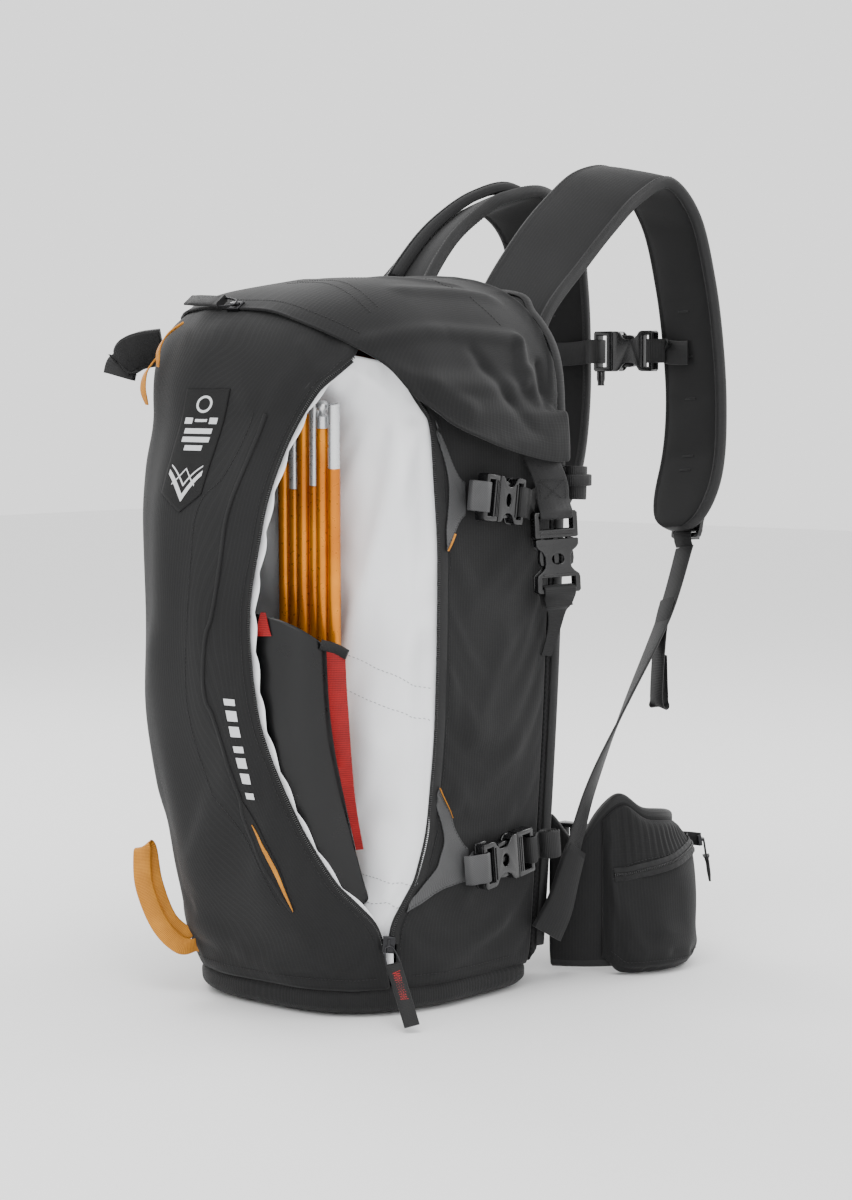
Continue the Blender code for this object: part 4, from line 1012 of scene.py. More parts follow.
def zip_puller(name, node, body, pivot, down, across, length, zigzag, slider_forward):
    """The pull on its joint, and the slider body it hangs from."""
    place = place_at(Vector(pivot), down, Vector(down).cross(Vector(across)))
    loop = [place @ Vector(p) for p in ((0.0, -0.0022, 0), (0.0, 0.0022, 0), (0.006, 0.0042, 0),
                                        (0.0150, 0.0046, 0),
                                        (0.0175, 0.0, 0), (0.0150, -0.0046, 0), (0.006, -0.0042, 0))]
    bail = wire(name + "_bail", loop, 0.0007, dark_metal)
    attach(bail, body)
    path = [place @ Vector((x, 0, z)) for x, z in ((0.0135, 0.0), (0.018, 0.0), (0.5 * length, 0.0004),
                                                   (length, 0.0))]
    side = place.col[1].to_3d()

    def folded(spot, share, a, b, side, up):
        """The tab's two plies part a little at the bail and are fused at the end."""
        return spot + up * b * (1.1 * math.exp(-share * 9) - 0.35 * ease((share - 0.86) / 0.1))

    strip(name + "_tab", path, side, 0.0112, 0.0026, binding, 40, body=body, node=node, shape=folded)
    if zigzag:
        spots = []
        for k in range(25):
            x = 0.020 + 0.022 * k / 24
            spots.append((place @ Vector((x, 0.0026 * (-1) ** k, 0.0015)), place.col[2].to_3d()))
        line = []
        for (a, up), (b, _) in zip(spots, spots[1:]):
            line += [(a.lerp(b, 0.02), up), (a.lerp(b, 0.5), up), (a.lerp(b, 0.98), up)]
        row_along(name + "_zigzag", [line], zigzag_bead, 0.0016, red_thread, body=body)
    seat = place_at(Vector(pivot), slider_forward, place.col[2].to_3d())
    shift = Vector((0, 0, -0.0028))
    parts = [rounded_block("body", (-0.0045, -0.0045, -0.0022), (0.0075, 0.0045, 0.0012),
                           seat @ Matrix.Translation(shift), dark_metal),
             rounded_block("bridge", (-0.0035, -0.0011, 0.0), (0.0055, 0.0011, 0.0028),
                           seat @ Matrix.Translation(shift), dark_metal, 0.0006)]
    slider = joined(name + "_slider", parts)
    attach(slider, "pack")


zip_puller("main_pull", "main_zip_puller", "main_zip_puller", bag(-41.5, 0.085, 0.0060),
           (0.354, -0.157, -0.50),
           (0.64, 0.74, 0.2), 0.062, True, (0.05, 0.1, 1))
zip_puller("top_pull", "top_zip_puller", "top_zip_puller", bag(-91, 1.25, 0.0065), (-1.0, 0.02, 0.06),
           (0.0, -0.8, -0.6), 0.048, False, (-1, 0, 0))

# ------------------------------------------------------------------ badge, marks and slit pocket
# A plain woven badge and a row of printed bars decorate the front. A slit pocket runs beside the
# zip; its mouth gapes near the bottom and shows the amber webbing inside. The gape is painted shade:
# a near-black sheet laid on the panel stands for the shaded inside of the pocket.


def patch_on(skin, name, route, columns, rows, material, lift=0.0002, thickness=0.0005):
    """A thin patch laid on a panel. route gives (turn, rise) at shares (s, t)."""

    def place(s, t):
        turn, rise = route(s, t)
        point = bag(turn, rise)
        away = (bag(turn, rise, 0.01) - point).normalized()
        return laid_on(skin, [(point, away)], lift + thickness)[0][0]

    piece = cloth_sheet(name, place, columns, rows, material)
    return finish_cloth(piece, thickness, levels=0)


def across_front(x, rise):
    """The turn at which the front of the bag is x to the side of its middle."""
    half = between(HALF_WIDTHS, SEAM_Z + (SHOULDER_Z - SEAM_Z) * min(rise, 1.0))
    turn = -math.degrees(math.acos((abs(x) / half) ** 1.6))
    return turn if x > 0 else -180 - turn


def badge_route(s, t):
    """Badge: s across it, t up from the point at its foot."""
    drop = 1 - t
    rise = 1.05 - 0.185 * drop - 0.034 * ease((drop - 0.72) / 0.28) * (1 - abs(2 * s - 1))
    return across_front(-0.032 - 0.0196 * drop + 0.0424 * s, rise), rise


badge_weave = plain_shader("badge_weave", (0.0012, 0.0012, 0.0014), 0.55, specular=0.25)
n = Nodes(badge_weave)
u, v = n.cloth()
across = n.math("ABSOLUTE", n.math("SUBTRACT", u, 0.0215))
ring = n.math("ABSOLUTE", n.math("SUBTRACT", n.math("SQRT",
                                                    n.math("ADD", n.math("POWER", across, 2.0), n.math(
    "POWER", n.math("SUBTRACT", v, 0.0705), 2.0))), 0.0068))
mark = n.math("LESS_THAN", ring, 0.0011)
for low, high, near, far, slope in ((0.0560, 0.0580, 0.0, 0.0060, 0.0), (0.0545, 0.0590, 0.0085, 0.0165, 0.0),
                                    (0.0470, 0.0510, 0.0, 0.0140, 0.0), (0.0405, 0.0445, 0.0, 0.0140, 0.0),
                                    (0.0340, 0.0380, 0.0, 0.0090, 0.0), (0.0125, 0.0137, 0.0, 0.0165, 0.55),
                                    (0.0060, 0.0095, 0.0, 0.0175, 0.55),
                                    (0.0200, 0.0210, 0.0, 0.0120, -0.80)):
    height = n.math("SUBTRACT", v, n.math("MULTIPLY", across, slope))
    inside = n.math("MULTIPLY", n.math("GREATER_THAN", height, low), n.math("LESS_THAN", height, high))
    inside = n.math("MULTIPLY", inside, n.math("LESS_THAN", across, far))
    if near:
        inside = n.math("MULTIPLY", inside, n.math("GREATER_THAN", across, near))
    mark = n.math("MAXIMUM", mark, inside)
n.colour(n.mix(mark, (0.0012, 0.0012, 0.0014), (0.60, 0.61, 0.62)))
n.bump(n.math("MULTIPLY", n.wave(u, 0.0007), n.wave(v, 0.0007)), 0.0001)
patch_on(front_skin, "woven_badge", badge_route, 24, 36, badge_weave)
print_ink = plain_shader("pale_print", (0.62, 0.63, 0.64), 0.5)
bars = []
for k in range(7):
    low = 0.345 + 0.027 * k
    high = low + (0.018 if k % 3 else 0.011)
    bars.append(patch_on(front_skin, "printed_bar", lambda s, t, a=low, b=high: (
        -84.5 - 4.0 * ((a + (b - a) * t) - 0.34) / 0.20 + 2.4 * s, a + (b - a) * t), 4, 6, print_ink,
                         0.0001, 0.0003))
for bar in bars:
    bar.modifiers.clear()
joined("printed_bars", bars)
amber_weave = webbing_finish("amber_weave", (0.30, 0.10, 0.004), (0.66, 0.27, 0.018), 0.0011)
# Painted shade: a near-black colour for the shaded inside of the slit pocket's gaping mouth.
painted_gape_shade = plain_shader("slit_pocket_painted_shade", (0.002, 0.002, 0.0022), 0.9)


def slit_turn(rise):
    """The slit pocket's turn at a rise."""
    return between([(0.14, -74), (0.22, -79), (0.34, -86), (0.55, -90), (0.80, -88), (1.0, -80)], rise)


# Painted shade: a near-black sheet on the panel where the slit pocket's mouth gapes, standing for the shade
# inside it.
patch_on(front_skin, "pocket_mouth", lambda s, t: (
    slit_turn(0.15 + 0.19 * t) + (2 * s - 1) * 2.3 * math.sin(math.pi * t) ** 0.8, 0.15 + 0.19 * t), 6, 40,
    painted_gape_shade, 0.0002, 0.0006)
patch_on(front_skin, "pocket_amber", lambda s, t: (
    slit_turn(0.15 + 0.15 * t) + 0.1 + 1.4 * s * math.sin(math.pi * t) ** 0.7, 0.15 + 0.15 * t), 6, 30,
    amber_weave, 0.0010, 0.0006)
lip = laid_on(front_skin, bag_line(lambda s: (slit_turn(0.15 + 0.85 * s) - 2.3 * math.sin(
    math.pi * min(s / 0.22, 1.0)) ** 0.8 - 0.3, 0.15 + 0.85 * s)), 0.0004)
strip("pocket_lip", [point for point, up in lip], [up.cross(Vector((0, 0, 1))) for point, up in lip], 0.0034,
      0.0018, shell_cloth, 160)
row_along("pocket_stitches", [laid_on(front_skin, bag_line(lambda s: (slit_turn(0.16 + 0.84 * s) - 4.2,
                                                                      0.16 + 0.84 * s)))],
          stitch, STITCH_PITCH, thread_black)

# ------------------------------------------------------------------ back panel
# The face that lies on the wearer's back: moulded foam under a spacer mesh, stitched into pads with
# air channels between them. The harness is sewn to it.
PAD_ROWS = (0.020, 0.118, 0.232, 0.342, 0.440, 0.536)


def spacer_mesh(name, dark, light, cell=0.0026):
    """Knitted spacer mesh: small open cells in a staggered net."""
    material = plain_shader(name, light, 0.9, sheen=0.04, specular=0.25)
    n = Nodes(material)
    u, v = n.cloth()
    first = n.math("MULTIPLY", n.wave(u, cell), n.wave(v, cell * 1.7))
    second = n.math("MULTIPLY", n.wave(u, cell, math.pi), n.wave(v, cell * 1.7, math.pi))
    net = n.math("MAXIMUM", first, second)
    n.colour(n.mix(net, light, dark))
    n.bump(net, 0.0005, -1.0)
    return material


mesh_cloth = spacer_mesh("spacer_mesh", (0.0015, 0.0015, 0.0017), (0.010, 0.010, 0.0105))
knit_black = ripstop("strap_knit", (0.0022, 0.0022, 0.0024), (0.0062, 0.0062, 0.0066), rib=0.0012,
                     thread=0.0012,
                     depth=0.00006, roughness=0.75)


def back_half(z):
    """Half the back panel's width at a height."""
    if z < SHOULDER_Z:
        return between(HALF_WIDTHS, z)
    return 0.131 * (1 - min((z - SHOULDER_Z) / TOP_HEIGHT, 0.992) ** 2.7) ** (1 / 2.7)


def back_place(s, t):
    """Back panel: s across it, t up it, with channels between its pads."""
    z = 0.0192 + 0.5148 * t
    half = back_half(z)
    x = half * (2 * s - 1)
    edge = min(half - abs(x), (0.5 - abs(t - 0.5)) * 0.51)
    body = 0.0178 * ease(edge / 0.006 + 0.08) ** 0.5
    row = max(k for k in range(5) if PAD_ROWS[k] <= z + 0.0009)
    share = (z - PAD_ROWS[row]) / (PAD_ROWS[row + 1] - PAD_ROWS[row])
    cushion = ease(min(share, 1 - share) * (PAD_ROWS[row + 1] - PAD_ROWS[row]) / 0.011)
    cushion *= ease((abs(x) - 0.011) / 0.012) * ease((half - abs(x)) / 0.022)
    return Vector((x, 0.0757 + body - 0.0026 + 0.0050 * cushion, z))


back = cloth_sheet("back_panel_pad", back_place, 72, 120, mesh_cloth)
for face in back.data.polygons:
    face.flip()
finish_cloth(back, 0.0016, node="back_panel")
mesh_rim = [Vector((back_half(z) * side, 0.0862, z)) for side, zs in (
    (1, (0.03, 0.12, 0.24, 0.36, 0.435, 0.48, 0.51, 0.526)),
            (-1, (0.526, 0.51, 0.48, 0.435, 0.36, 0.24, 0.12, 0.03)))
    for z in zs]
swept_rim = swept("back_panel_binding", smooth_route(mesh_rim, 150), [Vector((0, 1, 0))] * 150,
                  [(0.0046 * math.cos(a), 0.0021 * math.sin(a)) for a in [math.pi *
                          k / 6 for k in range(12)]], binding)
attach(swept_rim, "pack")

# ------------------------------------------------------------------ shoulder straps
# Curved foam straps: ribbed cloth outside, a smooth black knit against the wearer, and a bound edge
# stitched five millimetres in. The left one carries the airbag's trigger.
STRAP_THICKNESS = 0.011
STRAP_ROUTE = [(0.054, 0.1075, 0.425), (0.055, 0.1095, 0.468), (0.056, 0.126, 0.514), (0.060, 0.168, 0.560),
               (0.064, 0.202, 0.591), (0.068, 0.236, 0.615), (0.073, 0.274, 0.623), (0.078, 0.309, 0.592),
               (0.082, 0.326, 0.540), (0.085, 0.334, 0.487), (0.087, 0.336, 0.438), (0.088, 0.329, 0.390),
               (0.088, 0.306, 0.337)]
STRAP_SIDES = [(1, 0, 0), (1, 0, 0), (1, 0, -0.15), (0.93, 0, -0.36), (0.93, 0, -0.36), (0.94, -0.08, -0.33),
               (0.96, -0.2, -0.15), (0.95, -0.29, 0), (0.95, -0.29, 0), (0.95, -0.29, 0), (0.95, -0.29, 0),
               (0.96, -0.25, 0), (0.97, -0.22, 0)]
STRAP_SECTION = [(-0.0300, -0.0040), (-0.0285, -0.0052), (-0.018, -0.0054), (0.0, -0.0054), (0.018, -0.0054),
                 (0.0285, -0.0052), (0.0300, -0.0040), (0.0308, -0.0049), (0.0335, -0.0052),
                 (0.0354, -0.0036),
                 (0.0360, 0.0), (0.0354, 0.0036), (0.0335, 0.0053), (0.0308, 0.0049), (0.0300, 0.0041),
                 (0.0285, 0.0050), (0.018, 0.0056), (0.0, 0.0058), (-0.018, 0.0056), (-0.0285, 0.0050),
                 (-0.0300, 0.0041), (-0.0308, 0.0049), (-0.0335, 0.0053), (-0.0354, 0.0036), (-0.0360, 0.0),
                 (-0.0354, -0.0036), (-0.0335, -0.0052), (-0.0308, -0.0049)]


def strap_route(hand):
    """A shoulder strap: its middle line and its width directions."""
    stops = []
    for x, y, z in STRAP_ROUTE:
        if hand < 0:
            x -= 0.024 * min(max((y - 0.20) / 0.10, 0.0), 1.0)
            x += 0.016 * min(max((0.26 - y) / 0.10, 0.0), 1.0)
            z -= max(z - 0.52, 0.0) * 0.13
        stops.append(Vector((hand * x, y, z)))
    return stops, [Vector((x, hand * y, hand * z)) for x, y, z in STRAP_SIDES]


def strap_at(hand, share):
    """(point, across, up, along) on a strap's middle; up is the face away from the wearer."""
    stops, sides = strap_route(hand)
    path = smooth_route(stops, 201)
    wide = smooth_route(sides, 201)
    k = min(max(round(share * 200), 1), 199)
    along = (path[k + 1] - path[k - 1]).normalized()
    across = (wide[k] - along * wide[k].dot(along)).normalized()
    return path[k], across, across.cross(along), along


def strap_taper(share):
    """A shoulder strap's width, as a share of its full width."""
    return 1.0 if share < 0.93 else math.sqrt(max(1 - ((share - 0.93) / 0.0725) ** 2, 0.06))


def face_finish(piece, count, finishes):
    """Gives the faces of a swept piece their materials; finishes pairs a range of section sides with one."""
    for material, sides in finishes:
        piece.data.materials.append(material)
        index = len(piece.data.materials) - 1
        for face in piece.data.polygons:
            if face.index % count in sides and face.index < len(piece.data.polygons) - 2:
                face.material_index = index


for hand, side_name in ((1, "right"), (-1, "left")):
    stops, sides = strap_route(hand)
    path = smooth_route(stops, 84)
    strap = swept(side_name + "_strap", path, smooth_route(sides, 84), STRAP_SECTION, binding, strap_taper)
    count = len(STRAP_SECTION)
    face_finish(strap, count, ((shell_cloth, range(14, 20)), (knit_black, range(0, 6))))
    seams = [k * count + i for k in range(84) for i in range(count) if i in (0, 6, 14, 20) or k in (0, 83)]
    settle(strap, 0.0, 0.0011, 12, 3.0, 0.0, seams)
    finish_cloth(strap, 0, node=side_name + "_shoulder_strap")
    bpy.context.view_layer.update()
    skin = skin_of(strap)
    rows = []
    for offset, face in ((0.0316, 1), (-0.0316, 1), (0.0316, -1), (-0.0316, -1)):
        line = []
        for k in range(2, 190, 2):
            point, across, up, along = strap_at(hand, k / 200)
            line.append((point + across * (offset * strap_taper(k / 200)) + up * (0.006 * face), up * face))
        rows.append(laid_on(skin, line, 0.0001, 0.002))
    row_along(side_name + "_strap_stitches", rows, stitch, STITCH_PITCH, thread_black)
    slots = []
    for share in (0.70, 0.76, 0.82, 0.905, 0.925):
        point, across, up, along = strap_at(hand, share)
        for k in range(3):
            ends = [(point + across * a + along * (0.0006 * k) - up * 0.006, -up) for a in (-0.006, 0.0,
                                                                                            0.006)]
            slots.append(laid_on(skin, ends, 0.0002, 0.002))
    row_along(side_name + "_strap_bartacks", slots, stitch, 0.0011, thread_black)

# ------------------------------------------------------------------ trigger on the left strap
# A zipped tunnel of cloth keeps the trigger's cable. The moulded pull hangs below it, clear of the
# strap, and slides along it when the airbag is fired.
glossy_plastic = plain_shader("acetal", (0.006, 0.006, 0.0065), 0.22, specular=0.55)
n = Nodes(glossy_plastic)
n.roughness(n.span(n.noise(n.place(), 70.0, 3.0), 0.3, 0.7, 0.16, 0.32))
n.bump(n.noise(n.place(), 1800.0, 2.0), 0.00005, 0.4)
arch = [(0.0077 * math.cos(a), 0.0012 + 0.0082 * math.sin(a) ** 0.8) for a in [math.pi *
                                                                               k / 10 for k in range(11)]]
arch += [(0.0062 * math.cos(a), 0.0006 + 0.0072 * math.sin(a) ** 0.8) for a in [math.pi *
        k / 10 for k in range(10, -1, -1)]]
frames = [strap_at(-1, 0.205 + 0.36 * k / 40) for k in range(41)]
path = [point + up * 0.0064 for point, across, up, along in frames]
sleeve = swept("trigger_tunnel", path, [across for point, across, up, along in frames], arch, shell_cloth)
finish_cloth(sleeve, 0, node="trigger_sleeve")
row_along("trigger_zip", [[(point + up * 0.0160, up) for point, across, up, along in frames]], tooth,
          TOOTH_PITCH,
          coil_black)
point, across, up, along = strap_at(-1, 16 / 25)
seat = place_at(point + up * (STRAP_THICKNESS / 2 + 0.0080), strap_at(-1, 17 / 25)[0] - point, up)
pull_red = plain_shader("pull_red", (0.42, 0.012, 0.014), 0.38, specular=0.5)
n = Nodes(pull_red)
n.roughness(n.span(n.noise(n.place(), 90.0, 3.0), 0.3, 0.7, 0.30, 0.48))
pull_parts = [rounded_block("stem", (-0.012, -0.006, -0.0050), (0.021, 0.006, 0.0050), seat, pull_red,
                            0.0030, 4),
              rounded_block("bar", (0.018, -0.022, -0.0058), (0.032, 0.022, 0.0058), seat, pull_red, 0.0048,
                            5)]
for k in range(5):
    low = -0.0115 + 0.005 * k + (0.003 if k > 2 else 0)
    pull_parts.append(rounded_block("grip", (low, -0.0064, -0.0054), (low + 0.0018, 0.0064, 0.0054), seat,
                                    glossy_plastic, 0.0007))
pull = joined("trigger_pull_handle", pull_parts)
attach(pull, "trigger_handle")
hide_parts("trigger_handle")

# ------------------------------------------------------------------ hip belt
# Two padded wings and a lumbar pad wrap the hips. Each wing carries a zipped pocket: ribbed cloth
# gathered into a zip along its top, over a full front that creases at the bottom.
HIP_CENTRE_Y = 0.190


def hip_point(angle, grow, z):
    """A point on the hip belt, by angle round it, distance out and height."""
    a = math.radians(angle)
    return Vector(((0.148 + grow) * math.cos(a), HIP_CENTRE_Y + (0.083 + grow) * math.sin(a), z))


def hip_pad(name, start, stop, low, high, half, hand, node, cap, count=70):
    """A padded stretch of the belt with a rolled, bound edge."""
    loop = []
    for k in range(9):
        a = math.pi * k / 8
        loop.append((half * math.cos(a), 1.0, 0.0042 * math.sin(a)))
    wall = [(-half * 0.9, 0.88, 0), (-half, 0.75, 0), (-half, 0.5, 0), (-half, 0.25, 0),
            (-half * 0.9, 0.12, 0)]
    foot = [(half * math.cos(a), 0.0, 0.0042 * math.sin(a)) for a in [math.pi + math.pi *
                                                                      k / 8 for k in range(9)]]
    other = [(half * 0.9, 0.12, 0), (half, 0.25, 0), (half, 0.5, 0), (half, 0.75, 0), (half * 0.9, 0.88, 0)]
    section = loop + wall + foot + other
    mesh = bmesh.new()
    cloth = mesh.loops.layers.uv.new("cloth")
    rings = []
    for k in range(count):
        s = k / (count - 1)
        angle = start + (stop - start) * s
        round_end = math.sqrt(max(1 - (max(s - 0.955, 0.0) / 0.047) ** 2, 0.04))
        bottom = low(s) + 0.0042
        top = high(s) - 0.0042
        middle = (bottom + top) / 2
        bottom = middle + (bottom - middle) * round_end
        top = middle + (top - middle) * round_end
        ring = []
        for grow, share, lift in section:
            spot = hip_point(angle, grow * (0.45 + 0.55 * round_end), bottom + (top - bottom) * share + lift)
            ring.append(mesh.verts.new((hand * spot.x, spot.y, spot.z)))
        rings.append(ring)
    total = len(section)
    for k in range(count - 1):
        for i in range(total):
            j = (i + 1) % total
            face = mesh.faces.new((rings[k][i], rings[k][j], rings[k + 1][j], rings[k + 1][i]))
            for loop_part, (a, b) in zip(face.loops, ((i, k), (i + 1, k), (i + 1, k + 1), (i, k + 1))):
                loop_part[cloth].uv = (b * 0.0028, section[a % total][1] * 0.10 + section[a % total][2])
    for ring in (rings[0], rings[-1]):
        mesh.faces.new(ring)
    bmesh.ops.recalc_face_normals(mesh, faces=mesh.faces[:])
    pad = mesh_object(name, mesh, binding)
    face_finish(pad, total, ((mesh_cloth, range(8, 14)), (shell_cloth, range(22, 28))))
    seams = [k * total + i for k in range(count) for i in range(total)
             if i in (0, 8, 14, 22) or k in (0, count - 1)]
    settle(pad, 0.0, cap, 12, 3.0, 0.0, seams)
    finish_cloth(pad, 0, node=node)
    return pad


hip_pad("lumbar_cushion", -128, -52, lambda s: 0.024, lambda s: 0.150, 0.0050, 1, "lumbar_pad", 0.0008)
def wing_top(s):
    """The wing's upper edge: low where the lower strap crosses, curling up beside the pocket."""
    return 0.129 - 0.034 * s ** 3 - 0.024 * math.exp(-((s - 0.085) / 0.060) ** 2) + 0.012 * math.exp(-((s -
            0.25) / 0.07) ** 2)


for hand, side_name in ((1, "right"), (-1, "left")):
    hip_pad(side_name + "_wing", -51.2, 61.5, lambda s: 0.004 + 0.038 * s ** 3, wing_top, 0.0052, hand,
            side_name + "_hip_wing", 0.0006, 100)


def pocket_place(s, t, hand=1):
    """The pocket's front over shares: along the wing, and from its bottom edge up over the gathered top."""
    angle = -32 + 78 * s
    gap = 0.0061
    swell = 0.003 + 0.0205 * math.sin(math.pi * min(s + 0.04, 1.0)) ** 0.7
    end = ease(min(s, 1 - s) / 0.035)
    top = wing_top((angle + 51.2) / 112.7) - 0.009
    zip_z = 0.080 + 0.016 * ease(s / 0.8)
    if t < 0.12:
        z = 0.0016
        grow = gap + swell * 0.72 * ease(t / 0.12)
        z += 0.0040 * ease((t - 0.06) / 0.06)
    elif t < 0.80:
        r = (t - 0.12) / 0.68
        z = 0.0056 + (zip_z - 0.0056) * r
        grow = gap + swell * (0.72 + 0.28 * math.sin(math.pi * min(r * 0.9 + 0.1, 1.0)) ** 0.6)
    else:
        r = (t - 0.80) / 0.20
        z = zip_z + (top - zip_z) * math.sin(r * math.pi / 2) ** 1.2
        grow = gap + swell * 0.80 * (1 - r) ** 0.8
    point = hip_point(angle, gap + (grow - gap) * (0.12 + 0.88 * end), z)
    z += 0.012 * (1 - ease(min(s, 1 - s) / 0.09)) * (1 - t)
    point.z = z
    inner = ease(min(s, 1 - s) * 9) * ease(min(t, 1 - t) * 8)
    gather = 0.0010 * math.sin(angle * 1.9 + 3 * math.sin(t * 9)) * ease((t - 0.80) / 0.05)
    folds = 0.0
    for a, b, wide, high in (((-24, 0.022), (6, 0.012), 0.006, 0.0030),
                             ((-10, 0.034), (26, 0.020), 0.007, 0.0026),
                             ((20, 0.014), (40, 0.028), 0.006, 0.0026),
                             ((-28, 0.060), (-20, 0.012), 0.006, 0.0022),
                             ((-4, 0.016), (16, 0.010), 0.004, -0.0022)):
        first = hip_point(a[0], gap, a[1])
        along = hip_point(b[0], gap, b[1]) - first
        flat = hip_point(angle, gap, z) - first
        share = min(max(flat.dot(along) / along.length_squared, 0.0), 1.0)
        folds += high * math.exp(-((flat - along * share).length / wide) ** 2)
    puff = (ripple(point, 0.035, 0.0030, 31.0) + folds - 0.0012) * inner + gather * inner
    point += (hip_point(angle, 0.01, 0) - hip_point(angle, 0, 0)).normalized() * min(puff, 0.0030)
    return Vector((hand * point.x, point.y, max(point.z, 0.0006)))


patch_grey = plain_shader("patch_grey", (0.045, 0.046, 0.048), 0.6)
n = Nodes(patch_grey)
u, v = n.cloth()
reach = n.math("SQRT", n.math("ADD", n.math("POWER", n.math("SUBTRACT", u, 0.0115), 2.0),
                              n.math("POWER", n.math("SUBTRACT", v, 0.016), 2.0)))
ring = n.math("LESS_THAN", n.math("ABSOLUTE", n.math("SUBTRACT", reach, 0.0052)), 0.0008)
dot = n.math("LESS_THAN", reach, 0.0022)
n.colour(n.mix(n.math("MAXIMUM", ring, dot), (0.045, 0.046, 0.048), (0.55, 0.56, 0.57)))
for hand, side_name in ((1, "right"), (-1, "left")):
    pocket = cloth_sheet(side_name + "_pocket", lambda s, t, hand=hand: pocket_place(s, t, hand), 76, 60,
                         shell_cloth)
    if hand < 0:
        for face in pocket.data.polygons:
            face.flip()
    settle(pocket, 0.006, 0.0016, 14, 1.2 * hand, 0.2)
    finish_cloth(pocket, CLOTH_THICKNESS, node=side_name + "_hip_pocket")
    bpy.context.view_layer.update()
    skin = skin_of(pocket)

    def pocket_line(low_s, high_s, height, dip=0.0, count=60):
        line = []
        for k in range(count + 1):
            s = low_s + (high_s - low_s) * k / count
            t = height - dip * (2 * k / count - 1) ** 4
            spot = pocket_place(s, t, hand)
            angle = -32 + 78 * s
            away = (hip_point(angle, 0.01, 0) - hip_point(angle, 0, 0)).normalized()
            line.append((spot, Vector((hand * away.x, away.y, away.z + 0.25)).normalized()))
        return laid_on(skin, line, 0.0004)

    arc = pocket_line(0.04, 0.90, 0.80, 0.03)
    strip(side_name + "_pocket_tape", [point for point, up in arc],
          [up.cross((arc[min(k + 1, 60)][0] - arc[max(k - 1, 0)][0]).normalized()) for k,
           (point, up) in enumerate(arc)],
          0.0110, 0.0010, tape_black, 120)
    row_along(side_name + "_pocket_coil", [[(point + up * 0.0007, up) for point, up in arc]], tooth,
              TOOTH_PITCH,
              coil_black)
    row_along(side_name + "_pocket_stitches", [pocket_line(0.03, 0.93, 0.765, 0.03),
                                               pocket_line(0.03, 0.93, 0.835, 0.03),
                                               pocket_line(0.02, 0.98, 0.145)], stitch, STITCH_PITCH,
              thread_black)
    zip_puller(side_name + "_pocket_pull", side_name + "_pocket_puller", side_name + "_pocket_puller",
               Vector((hand * hip_point(36, 0.035, 0.092).x, hip_point(36, 0.035, 0.092).y, 0.092)),
               (0.10 * hand, 0.12, -0.98), (-0.6, 0.8 * hand, 0), 0.034, False, (-0.6 * hand, 0.8, 0))
    zip_end = arc[-1][0]
    pivot = Vector((hand * hip_point(36, 0.035, 0.092).x, hip_point(36, 0.035, 0.092).y, 0.0920))
    strip(side_name + "_zip_end", [zip_end - arc[-1][1] * 0.002, zip_end.lerp(pivot, 0.45),
                                   pivot - arc[-1][1] * 0.003],
          (0, 0, 1), 0.0105, 0.0022, tape_black, 20)

    def patch_place(s, t):
        """A disc: s runs from its middle out, t round it."""
        a = 2 * math.pi * t
        spot = pocket_place(0.86 + 0.045 * s * math.cos(a) * hand, 0.43 + 0.15 * s * math.sin(a), hand)
        angle = 35
        away = (hip_point(angle, 0.01, 0) - hip_point(angle, 0, 0)).normalized()
        return laid_on(skin, [(spot, Vector((hand * away.x, away.y, 0)))], 0.0011)[0][0]

    disc = cloth_sheet(side_name + "_round_patch", patch_place, 6, 36, patch_grey, closed=True)
    layer = disc.data.uv_layers["cloth"]
    middle = sum((vert.co for vert in disc.data.vertices), Vector()) / len(disc.data.vertices)
    for loop in disc.data.loops:
        spot = disc.data.vertices[loop.vertex_index].co - middle
        layer.data[loop.index].uv = (0.0115 + math.hypot(spot.x, spot.y) * math.copysign(1, spot.y),
                                     0.016 + spot.z)
    finish_cloth(disc, 0.0008, levels=0)

# ------------------------------------------------------------------ coated tabs
# Stiff coated cloth with fine slanting ribs, sewn in along the zip and narrowing to the buckle it
# anchors. Each has a shallow cut-out at the zip and a thin amber edge at its tips.
coated = plain_shader("coated_cloth", (0.030, 0.0305, 0.032), 0.48, specular=0.4)
n = Nodes(coated)
u, v = n.cloth()
slant = n.wave(n.math("ADD", u, v), 0.0017)
n.colour(n.mix(n.math("MULTIPLY_ADD", slant, 0.5, n.span(n.noise(n.place(), 30.0), 0.3, 0.7, 0.0, 0.4)),
               (0.026, 0.026, 0.027), (0.070, 0.071, 0.073)))
n.bump(slant, 0.00012)


def turn_at(y, rise):
    """The bag's turn where its skin has a given y."""
    z = SEAM_Z + (SHOULDER_Z - SEAM_Z) * rise
    return -math.degrees(math.asin(((BACK_Y - y) / between(DEPTHS, z)) ** 1.6))


def rise_at(z):
    """The bag's rise at a height."""
    return (z - SEAM_Z) / (SHOULDER_Z - SEAM_Z)


def tab_point(s, t, low, high, apex_low, apex_high, apex_y):
    """A coated tab: s up it, t from the zip to the buckle, where it narrows to the apex heights."""
    bite = 0.30 * math.exp(-((s - 0.5) / 0.30) ** 4)
    t = bite + (1 - bite) * t
    wide = rise_at(low + (high - low) * s)
    narrow = rise_at(apex_low + (apex_high - apex_low) * s)
    neck = 0.62 * ease(t) + 0.38 * math.sqrt(max(t, 0.0))
    rise = wide + (narrow - wide) * neck
    start = right_zip(wide) + 2.2
    turn = start + (turn_at(apex_y, narrow) - start) * t
    point = bag(turn, rise)
    away = (bag(turn, rise, 0.01) - point).normalized()
    return laid_on(right_skin, [(point, away)], 0.0016)[0][0]


